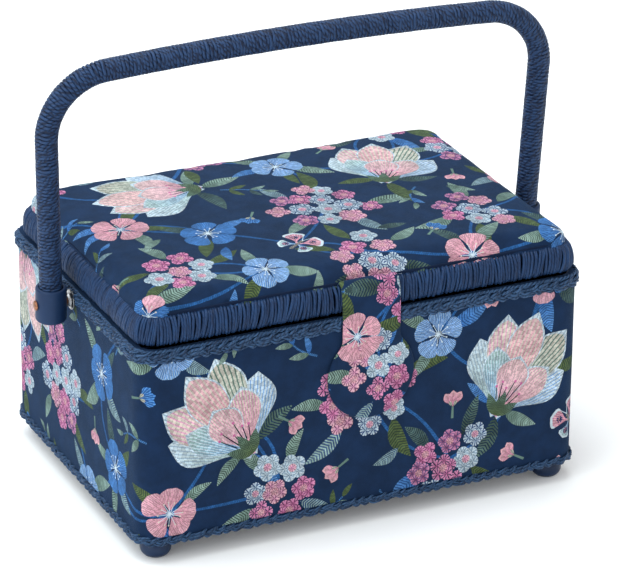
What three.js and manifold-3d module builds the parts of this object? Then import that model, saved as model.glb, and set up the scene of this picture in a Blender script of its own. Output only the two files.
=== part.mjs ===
// Fabric-covered sewing box with a padded lid, a cord-wound swing handle and an inner tray.
// Millimetres, +Z up. X runs along the box and -Y is its front. Z 0 is the surface that the feet stand on.
// The lid turns on two butt hinges at the back. The handle turns on a rivet at each end of the box.

import * as THREE from 'three';
import { mergeVertices } from 'three/addons/utils/BufferGeometryUtils.js';
import Module from 'manifold-3d';

const wasm = await Module();
wasm.setup();

// Box
const box_length = 255;
const box_depth = 183;
const box_corner_radius = 10;
const wall_height = 113;
const wall_board = 4;
const cover_cloth = 1.5;
const lining_cloth = 1;
const base_board = 4;
const base_cloth = 0.8;
const floor_pad = 3;
const seat_gap = 0.3;

// Feet and their screws
const foot_height = 10.5;
const foot_radius = 8.5;
const foot_pad_radius = 4;
const foot_neck_radius = 6;
const foot_inset = 10;
const foot_steps = 6;
const foot_widest_share = 0.47;
const foot_bulge_share = 0.56;
const screw_radius = 1.5;
const screw_head_radius = 3.5;
const screw_head_height = 1.6;
const screw_length = 9;
const screw_clearance = 0.3;

// Braids round the top and the bottom of the box
const top_braid_height = 9;
const top_braid_rise = 1.3;
const top_braid_width = 3;
const bottom_braid_height = 5;
const bottom_braid_width = 2.5;

// Lid
const lid_end_inset = 1;
const lid_side_inset = 2.5;
const lid_corner_radius = 14;
const lid_forward_shift = 1.5;
const closing_gap = 2.7;
const rim_height = 15.7;
const rim_winding = 2.2;
const rim_board = 5;
const lid_board = 4;
const lid_pad = 2.5;
const crown_height = 10.7;
const crown_inset = 1.2;
const crown_shoulder_power = 8;
const crown_round_power = 2.4;
const rib_depth = 0.7;
const rib_count = 120;
const rim_edge_round = 1.8;

// Pieces inside the lid
const pincushion_length_share = 0.277;
const pincushion_depth_share = 0.258;
const pincushion_height = 6.5;
const pincushion_centre_share = -0.245;
const pincushion_corner_share = 1 / 3;
const pocket_length_share = 0.41;
const pocket_depth_share = 0.348;
const pocket_thickness = 2.4;
const pocket_centre_share = 0.19;

// Butt hinges
const hinge_spacing_share = 0.59;
const hinge_length = 26;
const hinge_middle_share = 1 / 3;
const hinge_leaf = 0.6;
const hinge_leaf_reach = 6;
const hinge_pin_radius = 0.6;
const hinge_clearance = 0.15;
const knuckle_gap = 0.3;

// Closure tab and its magnets
const tab_thickness = 3;
const tab_neck_width = 34;
const tab_lobe_radius = 25.5;
const tab_drop = 79;
const tab_centre_x = 2;
const tab_shoulder_radius = 8;
const tab_braid_clearance = 0.4;
const magnet_radius = 7;
const magnet_thickness = 1.1;

// Tray and the ledges under it
const tray_height = 33;
const tray_wall = 1.8;
const tray_side_clearance = 1.5;
const tray_top_clearance = 3;
const tray_corner_radius = 6;
const tray_pocket_radius = 2.5;
const tray_back_row_share = 0.55;
const tray_front_split_shares = [1 / 3, 2 / 3];
const tray_back_split_shares = [0.5];
const tray_notch_radius = 11;
const pocket_arc_steps = 2;
const ledge_thickness = 2.5;
const ledge_height_share = 0.88;

// Handle
const pivot_drop = 6;
const pivot_standoff = 15.5;
const handle_splay = 2.8;
const handle_rise = 131.4;
const handle_bend_radius = 35;
const handle_bow = 3;
const handle_lean = THREE.MathUtils.degToRad(3.4);
const wrap_radius = 6;
const wrap_rib_depth = 0.5;
const wrap_ribs = 100;
const wrap_plain_rows = 6;
const core_radius = 3.6;
const core_clearance = 0.4;
const core_rows = 36;
const arch_sides = 8;

// Ferrules, rivets and bushes at the pivots
const ferrule_radius = 8.5;
const ferrule_height = 20;
const ferrule_edge = 1.4;
const ferrule_socket_depth = 6;
const rivet_radius = 2;
const rivet_head_radius = 2.8;
const rivet_head_height = 1;
const rivet_dome_share = 0.7;
const rivet_clearance = 0.3;
const bush_radius = 3.3;
const bush_flange_radius = 5.5;
const bush_flange = 1.2;
const clinch_radius = 4;

// Cutting and smoothness
const overrun = 5;
const weld_distance = 1e-4;
const arc_steps = 4;
const lathe_steps = 18;
const small_lathe_steps = 12;

// Heights and places that follow from the sizes above
const half_length = box_length / 2;
const half_depth = box_depth / 2;
const base_z = foot_height + seat_gap;
const board_z = base_z + base_cloth + seat_gap;
const wall_top = foot_height + wall_height;
const board_outset = cover_cloth + seat_gap;
const lining_outset = board_outset + wall_board + seat_gap;
const inner_outset = lining_outset + lining_cloth;
const floor_z = board_z + base_board + seat_gap;
const floor_top = floor_z + floor_pad;
const rim_bottom = wall_top + closing_gap;
const rim_top = rim_bottom + rim_height;
const lid_length = box_length - 2 * lid_end_inset;
const lid_depth = box_depth - 2 * lid_side_inset;
const lid_back = lid_depth / 2 - lid_forward_shift;
const lid_front = -lid_depth / 2 - lid_forward_shift;
const knuckle_radius = (closing_gap - 2 * seat_gap) / 2;
const hinge_z = wall_top + seat_gap + knuckle_radius;
const hinge_y = lid_back + seat_gap + knuckle_radius;
const tab_top = rim_top - seat_gap;
const tab_rim_y = lid_front - seat_gap;
const tab_wall_y = -(half_depth + seat_gap + top_braid_width + tab_braid_clearance);
const pivot_height = wall_top - pivot_drop;
const pivot_half_width = half_length + pivot_standoff;
const handle_half_width = pivot_half_width + handle_splay;
const ferrule_inner_x = pivot_half_width - ferrule_radius;

const navy = 0x1d2d55;
const materials = {
  print_cloth: finish(0x1b2a50, 0.9, 0),
  plain_cloth: finish(0x25365f, 0.9, 0),
  lining_satin: finish(0x2f4677, 0.55, 0),
  cord: finish(0x1f3a66, 0.75, 0),
  board: finish(0x9a7b55, 0.85, 0),
  navy_plastic: finish(navy, 0.45, 0),
  tray_plastic: finish(0xe8ecef, 0.35, 0),
  steel: finish(0xb8bcc0, 0.35, 0.9),
  copper: finish(0x9a6a4c, 0.45, 0.8),
};

function finish(color, roughness, metalness) {
  return new THREE.MeshStandardMaterial({ color, roughness, metalness });
}

// Closed meshes and booleans

function solidOf(geometry) {
  const bare = new THREE.BufferGeometry();
  bare.setAttribute('position', geometry.getAttribute('position'));
  bare.setIndex(geometry.getIndex());
  const merged = mergeVertices(bare, weld_distance);
  const vertProperties = Float32Array.from(merged.getAttribute('position').array);
  const triVerts = Uint32Array.from(merged.getIndex().array);
  return new wasm.Manifold(new wasm.Mesh({ numProp: 3, vertProperties, triVerts }));
}

function geometryOf(solid) {
  const { vertProperties, triVerts } = solid.getMesh();
  const geometry = new THREE.BufferGeometry();
  geometry.setAttribute('position', new THREE.BufferAttribute(Float32Array.from(vertProperties), 3));
  geometry.setIndex(new THREE.BufferAttribute(Uint32Array.from(triVerts), 1));
  geometry.computeVertexNormals();
  return geometry;
}

function cut(geometry, ...cutters) {
  return geometryOf(cutters.reduce((solid, cutter) => solid.subtract(solidOf(cutter)), solidOf(geometry)));
}

function join(geometry, ...others) {
  return geometryOf(others.reduce((solid, other) => solid.add(solidOf(other)), solidOf(geometry)));
}

function meet(geometry, other) {
  return geometryOf(solidOf(geometry).intersect(solidOf(other)));
}

// A grid of points closed both ways, such as a ring or a tube with a bore.
function closedGrid(rows, columns, pointAt) {
  const places = [];
  const faces = [];
  for (let row = 0; row < rows; row += 1) {
    for (let column = 0; column < columns; column += 1) {
      places.push(...pointAt(row, column).toArray());
      const next_row = ((row + 1) % rows) * columns;
      const next_column = (column + 1) % columns;
      const corner = row * columns + column;
      const across = row * columns + next_column;
      faces.push(corner, next_row + next_column, across, corner, next_row + column, next_row + next_column);
    }
  }
  return indexed(places, faces);
}

// Rings of points between a first and a last single point.
function cappedRings(first, rings, last) {
  const places = [...first.toArray()];
  const faces = [];
  const sides = rings[0].length;
  rings.forEach((ring) => ring.forEach((point) => places.push(...point.toArray())));
  places.push(...last.toArray());
  const end = 1 + rings.length * sides;
  for (let side = 0; side < sides; side += 1) {
    const next = (side + 1) % sides;
    faces.push(0, 1 + next, 1 + side);
    for (let row = 0; row < rings.length - 1; row += 1) {
      const low = 1 + row * sides;
      const high = low + sides;
      faces.push(low + side, low + next, high + next, low + side, high + next, high + side);
    }
    const top = end - sides;
    faces.push(top + side, top + next, end);
  }
  return indexed(places, faces);
}

function indexed(places, faces) {
  const geometry = new THREE.BufferGeometry();
  geometry.setAttribute('position', new THREE.Float32BufferAttribute(places, 3));
  geometry.setIndex(faces);
  geometry.computeVertexNormals();
  return geometry;
}

// Shapes used by more than one piece

function roundedOutline(half_x, half_y, radius) {
  const outline = new THREE.Shape();
  const corners = [[1, 1], [-1, 1], [-1, -1], [1, -1]];
  corners.forEach(([side_x, side_y], quarter) => {
    const start = quarter * Math.PI / 2;
    const x = side_x * (half_x - radius);
    const y = side_y * (half_y - radius);
    outline.absarc(x, y, radius, start, start + Math.PI / 2, false);
  });
  outline.closePath();
  return outline;
}

function slab(outline, bottom, top) {
  const options = { depth: top - bottom, bevelEnabled: false, curveSegments: arc_steps };
  return new THREE.ExtrudeGeometry(outline, options).translate(0, 0, bottom);
}

function block(low_x, high_x, low_y, high_y, low_z, high_z) {
  const geometry = new THREE.BoxGeometry(high_x - low_x, high_y - low_y, high_z - low_z);
  return geometry.translate((low_x + high_x) / 2, (low_y + high_y) / 2, (low_z + high_z) / 2);
}

// A ring that follows the box's outline, set in from the outside by outset.
function boxRing(outset, thickness, bottom, top) {
  const outer_radius = Math.max(box_corner_radius - outset, thickness);
  const inner_radius = Math.max(outer_radius - thickness, thickness / 2);
  const outline = roundedOutline(half_length - outset, half_depth - outset, outer_radius);
  const inset = outset + thickness;
  outline.holes.push(roundedOutline(half_length - inset, half_depth - inset, inner_radius));
  return slab(outline, bottom, top);
}

// A revolved piece on the Z axis, from pairs of radius and height.
function turned(profile, steps = lathe_steps) {
  return new THREE.LatheGeometry(profile.map(([radius, z]) => new THREE.Vector2(radius, z)), steps)
    .rotateX(Math.PI / 2);
}

// The same along +X, from pairs of radius and x.
function turnedAlongX(profile, steps = lathe_steps) {
  return turned(profile, steps).rotateY(Math.PI / 2);
}

function rod(radius, from_x, to_x, steps = small_lathe_steps) {
  return turnedAlongX([[0, from_x], [radius, from_x], [radius, to_x], [0, to_x]], steps);
}

function add(group, name, geometry, material) {
  const mesh = new THREE.Mesh(geometry, material);
  mesh.name = name;
  group.add(mesh);
  return mesh;
}

// Box: four glued boards, a base, the printed cover outside and the lining inside

const ends = [['left', -1], ['right', 1]];

function pivotHoles(radius) {
  return ends.map(([, side]) => {
    const from_x = side * (half_length - inner_outset - overrun);
    const to_x = side * (half_length + top_braid_width + overrun);
    return rod(radius, Math.min(from_x, to_x), Math.max(from_x, to_x)).translate(0, 0, pivot_height);
  });
}

function wallBoards(group) {
  const ring = boxRing(board_outset, wall_board, board_z, wall_top);
  const face_y = half_depth - board_outset - wall_board;
  const end_y = face_y - seat_gap;
  const far_x = half_length + overrun;
  const far_y = half_depth + overrun;
  add(group, 'front_wall_board', meet(ring, block(-far_x, far_x, -far_y, -face_y, 0, wall_top + overrun)),
    materials.board);
  add(group, 'back_wall_board', meet(ring, block(-far_x, far_x, face_y, far_y, 0, wall_top + overrun)),
    materials.board);
  const drilled = cut(ring, ...pivotHoles(bush_radius + seat_gap));
  ends.forEach(([end, side]) => {
    const half = block(Math.min(0, side * far_x), Math.max(0, side * far_x), -end_y, end_y, 0, wall_top + overrun);
    add(group, `${end}_wall_board`, meet(drilled, half), materials.board);
  });
}

function footPlaces() {
  const x = half_length - foot_inset;
  const y = half_depth - foot_inset;
  return [['front_left', -x, -y], ['front_right', x, -y], ['back_left', -x, y], ['back_right', x, y]];
}

function screwHoles(bottom, top) {
  const hole = turned([[0, bottom], [screw_radius + screw_clearance, bottom],
    [screw_radius + screw_clearance, top], [0, top]], small_lathe_steps);
  return footPlaces().map(([, x, y]) => hole.clone().translate(x, y, 0));
}

function screwSinks() {
  const sink_radius = screw_head_radius + screw_clearance;
  const bottom = board_z + base_board - screw_head_height - screw_clearance;
  const sink = turned([[0, bottom], [sink_radius, bottom], [sink_radius, floor_z + overrun],
    [0, floor_z + overrun]], small_lathe_steps);
  return footPlaces().map(([, x, y]) => sink.clone().translate(x, y, 0));
}

function boxBase(group) {
  const inset = board_outset + wall_board + seat_gap;
  const board = slab(roundedOutline(half_length - inset, half_depth - inset, wall_board), board_z, board_z + base_board);
  add(group, 'base_board', cut(board, ...screwHoles(0, floor_z), ...screwSinks()), materials.board);
  const cloth = slab(roundedOutline(half_length, half_depth, box_corner_radius), base_z, base_z + base_cloth);
  add(group, 'base_cloth', cut(cloth, ...screwHoles(0, board_z)), materials.plain_cloth);
  const pad_inset = inner_outset + seat_gap;
  const pad = slab(roundedOutline(half_length - pad_inset, half_depth - pad_inset, wall_board), floor_z, floor_top);
  add(group, 'floor_pad', pad, materials.lining_satin);
}

function boxCloth(group) {
  const cover = boxRing(0, cover_cloth, board_z, wall_top);
  add(group, 'outer_cover', cut(cover, ...pivotHoles(bush_radius + seat_gap)), materials.print_cloth);
  const lining = boxRing(lining_outset, lining_cloth, floor_z, wall_top);
  add(group, 'wall_lining', cut(lining, ...pivotHoles(clinch_radius + seat_gap)), materials.lining_satin);
}

// A braid with a rounded outer face, laid round the outside of the box.
function braid(width, bottom, height) {
  const face = seat_gap;
  const profile_shares = [[0, 0], [0.7, 0.04], [1, 0.3], [1, 0.7], [0.7, 0.96], [0, 1]];
  const outline = roundedOutline(half_length + face, half_depth + face, box_corner_radius + face);
  const stations = outline.getPoints(arc_steps).slice(0, -1);
  const outward = stations.map((point) => {
    const core_x = Math.sign(point.x) * (half_length - box_corner_radius);
    const core_y = Math.sign(point.y) * (half_depth - box_corner_radius);
    return new THREE.Vector2(point.x - core_x, point.y - core_y).normalize();
  });
  return closedGrid(stations.length, profile_shares.length, (row, column) => {
    const [out_share, up_share] = profile_shares[column];
    const place = stations[row].clone().addScaledVector(outward[row], out_share * width);
    return new THREE.Vector3(place.x, place.y, bottom + up_share * height);
  });
}

function braids(group) {
  const top_z = wall_top + top_braid_rise - top_braid_height;
  const top = braid(top_braid_width, top_z, top_braid_height);
  add(group, 'top_braid', cut(top, ...pivotHoles(bush_radius + seat_gap)), materials.cord);
  add(group, 'bottom_braid', braid(bottom_braid_width, foot_height, bottom_braid_height), materials.cord);
}

function feet(group) {
  const widest_z = foot_height * foot_widest_share;
  const bulge = foot_height * foot_bulge_share;
  const profile = [[0, 0], [foot_pad_radius, 0]];
  for (let step = 1; step < foot_steps; step += 1) {
    const z = foot_height * step / foot_steps;
    const reach = Math.sqrt(1 - ((z - widest_z) / bulge) ** 2);
    profile.push([Math.max(foot_pad_radius, foot_radius * reach), z]);
  }
  profile.push([foot_neck_radius, foot_height], [0, foot_height]);
  const hole_z = board_z + base_board - screw_length - screw_clearance;
  const hole_radius = screw_radius + screw_clearance;
  const hole = turned([[0, hole_z], [hole_radius, hole_z], [hole_radius, foot_height + overrun],
    [0, foot_height + overrun]], small_lathe_steps);
  const foot = cut(turned(profile), hole);
  const head_z = board_z + base_board - screw_head_height;
  const tip_z = board_z + base_board - screw_length;
  const screw = turned([[0, tip_z], [screw_radius, tip_z], [screw_radius, head_z], [screw_head_radius, head_z],
    [screw_head_radius, board_z + base_board], [0, board_z + base_board]], small_lathe_steps);
  footPlaces().forEach(([corner, x, y]) => {
    add(group, `foot_${corner}`, foot.clone(), materials.navy_plastic).position.set(x, y, 0);
    add(group, `foot_screw_${corner}`, screw.clone(), materials.steel).position.set(x, y, 0);
  });
}

// Tray with five compartments, held up by a covered ledge at each end

function tray(group) {
  const half_x = half_length - inner_outset - tray_side_clearance;
  const half_y = half_depth - inner_outset - tray_side_clearance;
  const top = wall_top - tray_top_clearance;
  const bottom = top - tray_height;
  const outline = roundedOutline(half_x, half_y, tray_corner_radius);
  const low_y = -half_y + tray_wall;
  const high_y = half_y - tray_wall;
  const split_y = low_y + (high_y - low_y) * (1 - tray_back_row_share);
  const rows = [[low_y, split_y - tray_wall / 2, tray_front_split_shares],
    [split_y + tray_wall / 2, high_y, tray_back_split_shares]];
  const inner_length = 2 * (half_x - tray_wall);
  rows.forEach(([from_y, to_y, split_shares]) => {
    const edges = [0, ...split_shares, 1].map((share) => -half_x + tray_wall + share * inner_length);
    for (let cell = 0; cell < edges.length - 1; cell += 1) {
      const from_x = edges[cell] + (cell > 0 ? tray_wall / 2 : 0);
      const to_x = edges[cell + 1] - (cell < edges.length - 2 ? tray_wall / 2 : 0);
      const pocket = roundedOutline((to_x - from_x) / 2, (to_y - from_y) / 2, tray_pocket_radius);
      const points = pocket.getPoints(pocket_arc_steps).map((point) =>
        new THREE.Vector2(point.x + (from_x + to_x) / 2, point.y + (from_y + to_y) / 2));
      outline.holes.push(new THREE.Path(points));
    }
  });
  const walls = slab(outline, bottom + tray_wall, top);
  const floor = slab(roundedOutline(half_x, half_y, tray_corner_radius), bottom, bottom + tray_wall);
  const notch = rod(tray_notch_radius, -half_x - overrun, half_x + overrun, lathe_steps).translate(0, 0, top);
  const end_only = cut(notch, block(-half_x + tray_wall, half_x - tray_wall, -half_y, half_y, bottom, top + tray_height));
  add(group, 'tray', cut(join(walls, floor), end_only), materials.tray_plastic);
  ledges(group, bottom - seat_gap);
}

function ledges(group, top) {
  const outer_x = half_length - inner_outset - seat_gap;
  const inner_x = outer_x - ledge_thickness;
  const lining_corner = Math.max(box_corner_radius - inner_outset, lining_cloth);
  const end_y = half_depth - inner_outset - lining_corner - seat_gap;
  ends.forEach(([end, side]) => {
    const low_x = Math.min(side * outer_x, side * inner_x);
    const high_x = Math.max(side * outer_x, side * inner_x);
    const ledge = block(low_x, high_x, -end_y, end_y, top - ledge_height_share * (top - floor_top), top);
    add(group, `tray_ledge_${end}`, ledge, materials.lining_satin);
  });
}

// Lid: a frame of strips with a board in its top, wound round the rim and padded above

function lidOutline(inset) {
  return roundedOutline(lid_length / 2 - inset, lid_depth / 2 - inset, lid_corner_radius - inset);
}

function lidSlab(inset, bottom, top) {
  return slab(lidOutline(inset), bottom, top).translate(0, -lid_forward_shift, 0);
}

function lidFrame(group) {
  const inset = rim_winding + seat_gap;
  const outline = lidOutline(inset);
  outline.holes.push(lidOutline(inset + rim_board));
  const frame = slab(outline, rim_bottom, rim_top).translate(0, -lid_forward_shift, 0);
  add(group, 'lid_frame', frame, materials.board);
  const board_inset = inset + rim_board + seat_gap;
  const board_bottom = rim_top - lid_board;
  add(group, 'lid_board', lidSlab(board_inset, board_bottom, rim_top), materials.board);
  add(group, 'lid_lining', lidSlab(board_inset, board_bottom - seat_gap - lid_pad, board_bottom - seat_gap),
    materials.lining_satin);
}

// The cord wound over the rim stands in near-upright ribs round all four sides.
function rimWinding(group) {
  const loop = lidOutline(0);
  const rows = 2 * rib_count;
  const round_share = rim_edge_round / rim_height;
  const profile = [[rim_winding, 0], [rim_edge_round / 2, 0], [0, round_share], [0, 1 - round_share],
    [rim_edge_round / 2, 1], [rim_winding, 1]];
  const winding = closedGrid(rows, profile.length, (row, column) => {
    const share = row / rows;
    const point = loop.getPointAt(share);
    const along = loop.getTangentAt(share);
    const [inset, up_share] = profile[column];
    const groove = row % 2 && inset < rim_winding ? rib_depth : 0;
    const x = point.x - along.y * Math.min(inset + groove, rim_winding);
    const y = point.y + along.x * Math.min(inset + groove, rim_winding) - lid_forward_shift;
    return new THREE.Vector3(x, y, rim_bottom + up_share * rim_height);
  });
  add(group, 'lid_rim_winding', winding, materials.cord);
}

// The padded top rises steeply at its edge and then runs in a slow crown to the middle.
function lidCushion(group) {
  const bottom = rim_top + seat_gap;
  const edge = lidOutline(crown_inset).getPoints(arc_steps).slice(0, -1);
  const edge_lift_share = 0.2;
  const tucked_share = 0.995;
  const scale_shares = [1, 0.995, 0.98, 0.96, 0.93, 0.88, 0.8, 0.65, 0.4];
  const lift_shares = scale_shares.map((scale) => (1 - scale ** crown_shoulder_power) ** (1 / crown_round_power));
  const ringAt = (scale, z) => edge.map((point) =>
    new THREE.Vector3(point.x * scale, point.y * scale - lid_forward_shift, z));
  const crown = scale_shares.map((scale, index) => {
    const lift = edge_lift_share + (1 - edge_lift_share) * lift_shares[index];
    return ringAt(scale, bottom + crown_height * lift);
  });
  const rings = [ringAt(tucked_share, bottom), ...crown];
  const centre_y = -lid_forward_shift;
  const first = new THREE.Vector3(0, centre_y, bottom);
  const last = new THREE.Vector3(0, centre_y, bottom + crown_height);
  add(group, 'lid_cushion', cappedRings(first, rings, last), materials.print_cloth);
}

function domedPad(half_x, half_y, height) {
  const corner = Math.min(half_x, half_y) * pincushion_corner_share;
  const edge = roundedOutline(half_x, half_y, corner).getPoints(arc_steps).slice(0, -1);
  const scale_shares = [0.96, 1, 0.97, 0.88, 0.7, 0.4];
  const drop_shares = [0, 0.35, 0.6, 0.82, 0.95, 1];
  const rings = scale_shares.map((scale, index) => edge.map((point) =>
    new THREE.Vector3(point.x * scale, -point.y * scale, -height * drop_shares[index])));
  return cappedRings(new THREE.Vector3(0, 0, 0), rings, new THREE.Vector3(0, 0, -height));
}

function lidFittings(group) {
  const lining_z = rim_top - lid_board - seat_gap - lid_pad - seat_gap;
  const half_pad_x = pincushion_length_share * lid_length / 2;
  const half_pad_y = pincushion_depth_share * lid_depth / 2;
  add(group, 'pincushion', domedPad(half_pad_x, half_pad_y, pincushion_height), materials.print_cloth)
    .position.set(pincushion_centre_share * lid_length, -lid_forward_shift, lining_z);
  const half_pocket_x = pocket_length_share * lid_length / 2;
  const half_pocket_y = pocket_depth_share * lid_depth / 2;
  const pocket = slab(roundedOutline(half_pocket_x, half_pocket_y, pocket_thickness), -pocket_thickness, 0);
  add(group, 'elastic_pocket', pocket, materials.plain_cloth)
    .position.set(pocket_centre_share * lid_length, -lid_forward_shift, lining_z);
}

// Butt hinges: the leaves lie in the closing gap and the knuckles stand behind the lid

function knuckle(from_x, to_x) {
  const bore = hinge_pin_radius + hinge_clearance;
  return turnedAlongX([[bore, from_x], [knuckle_radius, from_x], [knuckle_radius, to_x], [bore, to_x],
    [bore, from_x]], small_lathe_steps);
}

function leafPlate(low_z) {
  const half = hinge_length / 2;
  return block(-half, half, -hinge_leaf_reach - knuckle_radius, 0, low_z, low_z + hinge_leaf);
}

function pinBore() {
  const half = hinge_length / 2;
  return rod(hinge_pin_radius + hinge_clearance, -half - overrun, half + overrun);
}

function boxLeaf() {
  const end = hinge_length / 2;
  const middle = hinge_length * hinge_middle_share / 2;
  const room = block(-middle - knuckle_gap, middle + knuckle_gap, -knuckle_radius - knuckle_gap,
    knuckle_radius + overrun, -knuckle_radius - overrun, knuckle_radius + overrun);
  const plate = cut(leafPlate(-knuckle_radius), room);
  const left_knuckle = knuckle(-end, -middle - knuckle_gap);
  const right_knuckle = knuckle(middle + knuckle_gap, end);
  return cut(join(plate, left_knuckle, right_knuckle), pinBore());
}

function lidLeaf() {
  const end = hinge_length / 2;
  const middle = hinge_length * hinge_middle_share / 2;
  const room_y = -knuckle_radius - knuckle_gap;
  const clear_y = knuckle_radius + overrun;
  const rooms = [[-end - overrun, -middle], [middle, end + overrun]].map(([from_x, to_x]) =>
    block(from_x, to_x, room_y, clear_y, -knuckle_radius - overrun, knuckle_radius + overrun));
  const plate = cut(leafPlate(knuckle_radius - hinge_leaf), ...rooms);
  return cut(join(plate, knuckle(-middle, middle)), pinBore());
}

function hinges(box, lid) {
  ends.forEach(([end, side]) => {
    const place = [side * hinge_spacing_share * box_length / 2, hinge_y, hinge_z];
    add(box, `hinge_box_leaf_${end}`, boxLeaf(), materials.steel).position.set(...place);
    add(box, `hinge_pin_${end}`, rod(hinge_pin_radius, -hinge_length / 2, hinge_length / 2), materials.steel)
      .position.set(...place);
    add(lid, `hinge_lid_leaf_${end}`, lidLeaf(), materials.steel).position.set(...place);
  });
}

// Closure tab: a padded keyhole shape that hangs from the lid's front edge over the front wall

function keyholeOutline() {
  const half_neck = tab_neck_width / 2;
  const lobe_z = -tab_drop + tab_lobe_radius;
  const reach = tab_lobe_radius + tab_shoulder_radius;
  const shoulder_x = half_neck + tab_shoulder_radius;
  const shoulder_z = lobe_z + Math.sqrt(reach ** 2 - shoulder_x ** 2);
  const tilt = Math.atan2(shoulder_z - lobe_z, shoulder_x);
  const outline = new THREE.Shape();
  outline.moveTo(-half_neck, 0);
  outline.lineTo(-half_neck, shoulder_z);
  outline.absarc(-shoulder_x, shoulder_z, tab_shoulder_radius, 0, -tilt, true);
  outline.absarc(0, lobe_z, tab_lobe_radius, Math.PI - tilt, tilt, false);
  outline.absarc(shoulder_x, shoulder_z, tab_shoulder_radius, Math.PI + tilt, Math.PI, true);
  outline.lineTo(half_neck, 0);
  outline.closePath();
  return outline;
}

// The side view of the tab: over the rim, out past the braid and straight down.
function tabSide() {
  const rim_z = rim_bottom - tab_top;
  const braid_z = wall_top + top_braid_rise - tab_top;
  const outer_rim = tab_rim_y - tab_thickness;
  const outer_wall = tab_wall_y - tab_thickness;
  const side = new THREE.Shape();
  side.moveTo(tab_rim_y, 0);
  side.lineTo(tab_rim_y, rim_z / 2);
  side.quadraticCurveTo(tab_wall_y, rim_z, tab_wall_y, braid_z);
  side.lineTo(tab_wall_y, -tab_drop - overrun);
  side.lineTo(outer_wall, -tab_drop - overrun);
  side.lineTo(outer_wall, braid_z);
  side.quadraticCurveTo(outer_wall, rim_z, outer_rim, rim_z / 2);
  side.lineTo(outer_rim, 0);
  side.closePath();
  return side;
}

function closureTab(box, tab) {
  const far = tab_lobe_radius + overrun;
  const front = new THREE.ExtrudeGeometry(keyholeOutline(),
    { depth: 2 * half_depth, bevelEnabled: false, curveSegments: 2 * arc_steps }).rotateX(Math.PI / 2);
  const side = new THREE.ExtrudeGeometry(tabSide(), { depth: 2 * far, bevelEnabled: false, curveSegments: arc_steps })
    .translate(0, 0, -far).rotateX(Math.PI / 2).rotateZ(Math.PI / 2);
  add(tab, 'closure_tab', meet(front, side), materials.print_cloth).position.set(tab_centre_x, 0, tab_top);
  magnets(box, tab);
}

function magnets(box, tab) {
  const lobe_z = tab_top - tab_drop + tab_lobe_radius;
  const disc = turned([[0, 0], [magnet_radius, 0], [magnet_radius, magnet_thickness], [0, magnet_thickness]])
    .rotateX(Math.PI / 2);
  const wall_y = -half_depth - seat_gap;
  add(box, 'magnet_on_wall', disc, materials.steel).position.set(tab_centre_x, wall_y, lobe_z);
  const cap_y = tab_wall_y + magnet_thickness + seat_gap;
  add(tab, 'magnet_on_tab', disc.clone(), materials.steel).position.set(tab_centre_x, cap_y, lobe_z);
}

// Handle: a bent core with a cord wound round it, a cup at each foot and a rivet through each cup

function archPath() {
  const straight_half = handle_half_width - handle_bend_radius;
  const bow_radius = straight_half ** 2 / (2 * handle_bow);
  const bow_half = straight_half / (1 - handle_bend_radius / bow_radius);
  const slope = Math.asin(bow_half / bow_radius);
  const bend_z = handle_rise - handle_bend_radius;
  const bow_z = bend_z + handle_bend_radius * Math.cos(slope) - bow_radius * Math.cos(slope);
  const path = new THREE.Path();
  path.moveTo(-pivot_half_width, handleFootZ());
  path.lineTo(-handle_half_width, bend_z);
  path.absarc(-straight_half, bend_z, handle_bend_radius, Math.PI, Math.PI / 2 + slope, true);
  path.absarc(0, bow_z, bow_radius, Math.PI / 2 + slope, Math.PI / 2 - slope, true);
  path.absarc(straight_half, bend_z, handle_bend_radius, Math.PI / 2 - slope, 0, true);
  path.lineTo(pivot_half_width, handleFootZ());
  return path;
}

function handleFootZ() {
  return ferrule_height / 2 - ferrule_socket_depth + seat_gap;
}

// One ring of points square to the arch, at a share of its length.
function archRing(path, share, radius) {
  const point = path.getPointAt(share);
  const along = path.getTangentAt(share);
  const ring = [];
  for (let side = 0; side < arch_sides; side += 1) {
    const angle = (side + 0.5) * 2 * Math.PI / arch_sides;
    const out = radius * Math.cos(angle);
    ring.push(new THREE.Vector3(point.x - along.y * out, radius * Math.sin(angle), point.y + along.x * out));
  }
  return ring;
}

// The wound cord is ribbed outside, with a plain turn's width at each end, and has a bore for the core.
function handleWrap(path) {
  const rows_out = 2 * wrap_ribs + 1;
  const rings = [];
  for (let row = 0; row < rows_out; row += 1) {
    const plain = row < wrap_plain_rows || row >= rows_out - wrap_plain_rows;
    const groove = row % 2 && !plain ? wrap_rib_depth : 0;
    rings.push(archRing(path, row / (rows_out - 1), wrap_radius - groove));
  }
  for (let row = core_rows - 1; row >= 0; row -= 1) {
    rings.push(archRing(path, row / (core_rows - 1), core_radius + core_clearance));
  }
  return closedGrid(rings.length, arch_sides, (row, column) => rings[row][column]);
}

function handleCore(path) {
  const rings = [];
  for (let row = 0; row < core_rows; row += 1) {
    rings.push(archRing(path, row / (core_rows - 1), core_radius).reverse());
  }
  const tip = (share) => new THREE.Vector3(path.getPointAt(share).x, 0, path.getPointAt(share).y);
  return cappedRings(tip(0), rings, tip(1));
}

function handleArch(group) {
  const path = archPath();
  add(group, 'handle_wrap', handleWrap(path), materials.cord);
  add(group, 'handle_core', handleCore(path), materials.board);
}

function ferrule() {
  const half = ferrule_height / 2;
  const socket = wrap_radius + seat_gap;
  const cup = turned([[0, -half], [ferrule_radius - ferrule_edge, -half], [ferrule_radius, -half + ferrule_edge],
    [ferrule_radius, half], [socket, half], [socket, half - ferrule_socket_depth],
    [0, half - ferrule_socket_depth]]);
  return cut(cup, rod(rivet_radius + rivet_clearance, -ferrule_radius - overrun, ferrule_radius + overrun));
}

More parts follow.
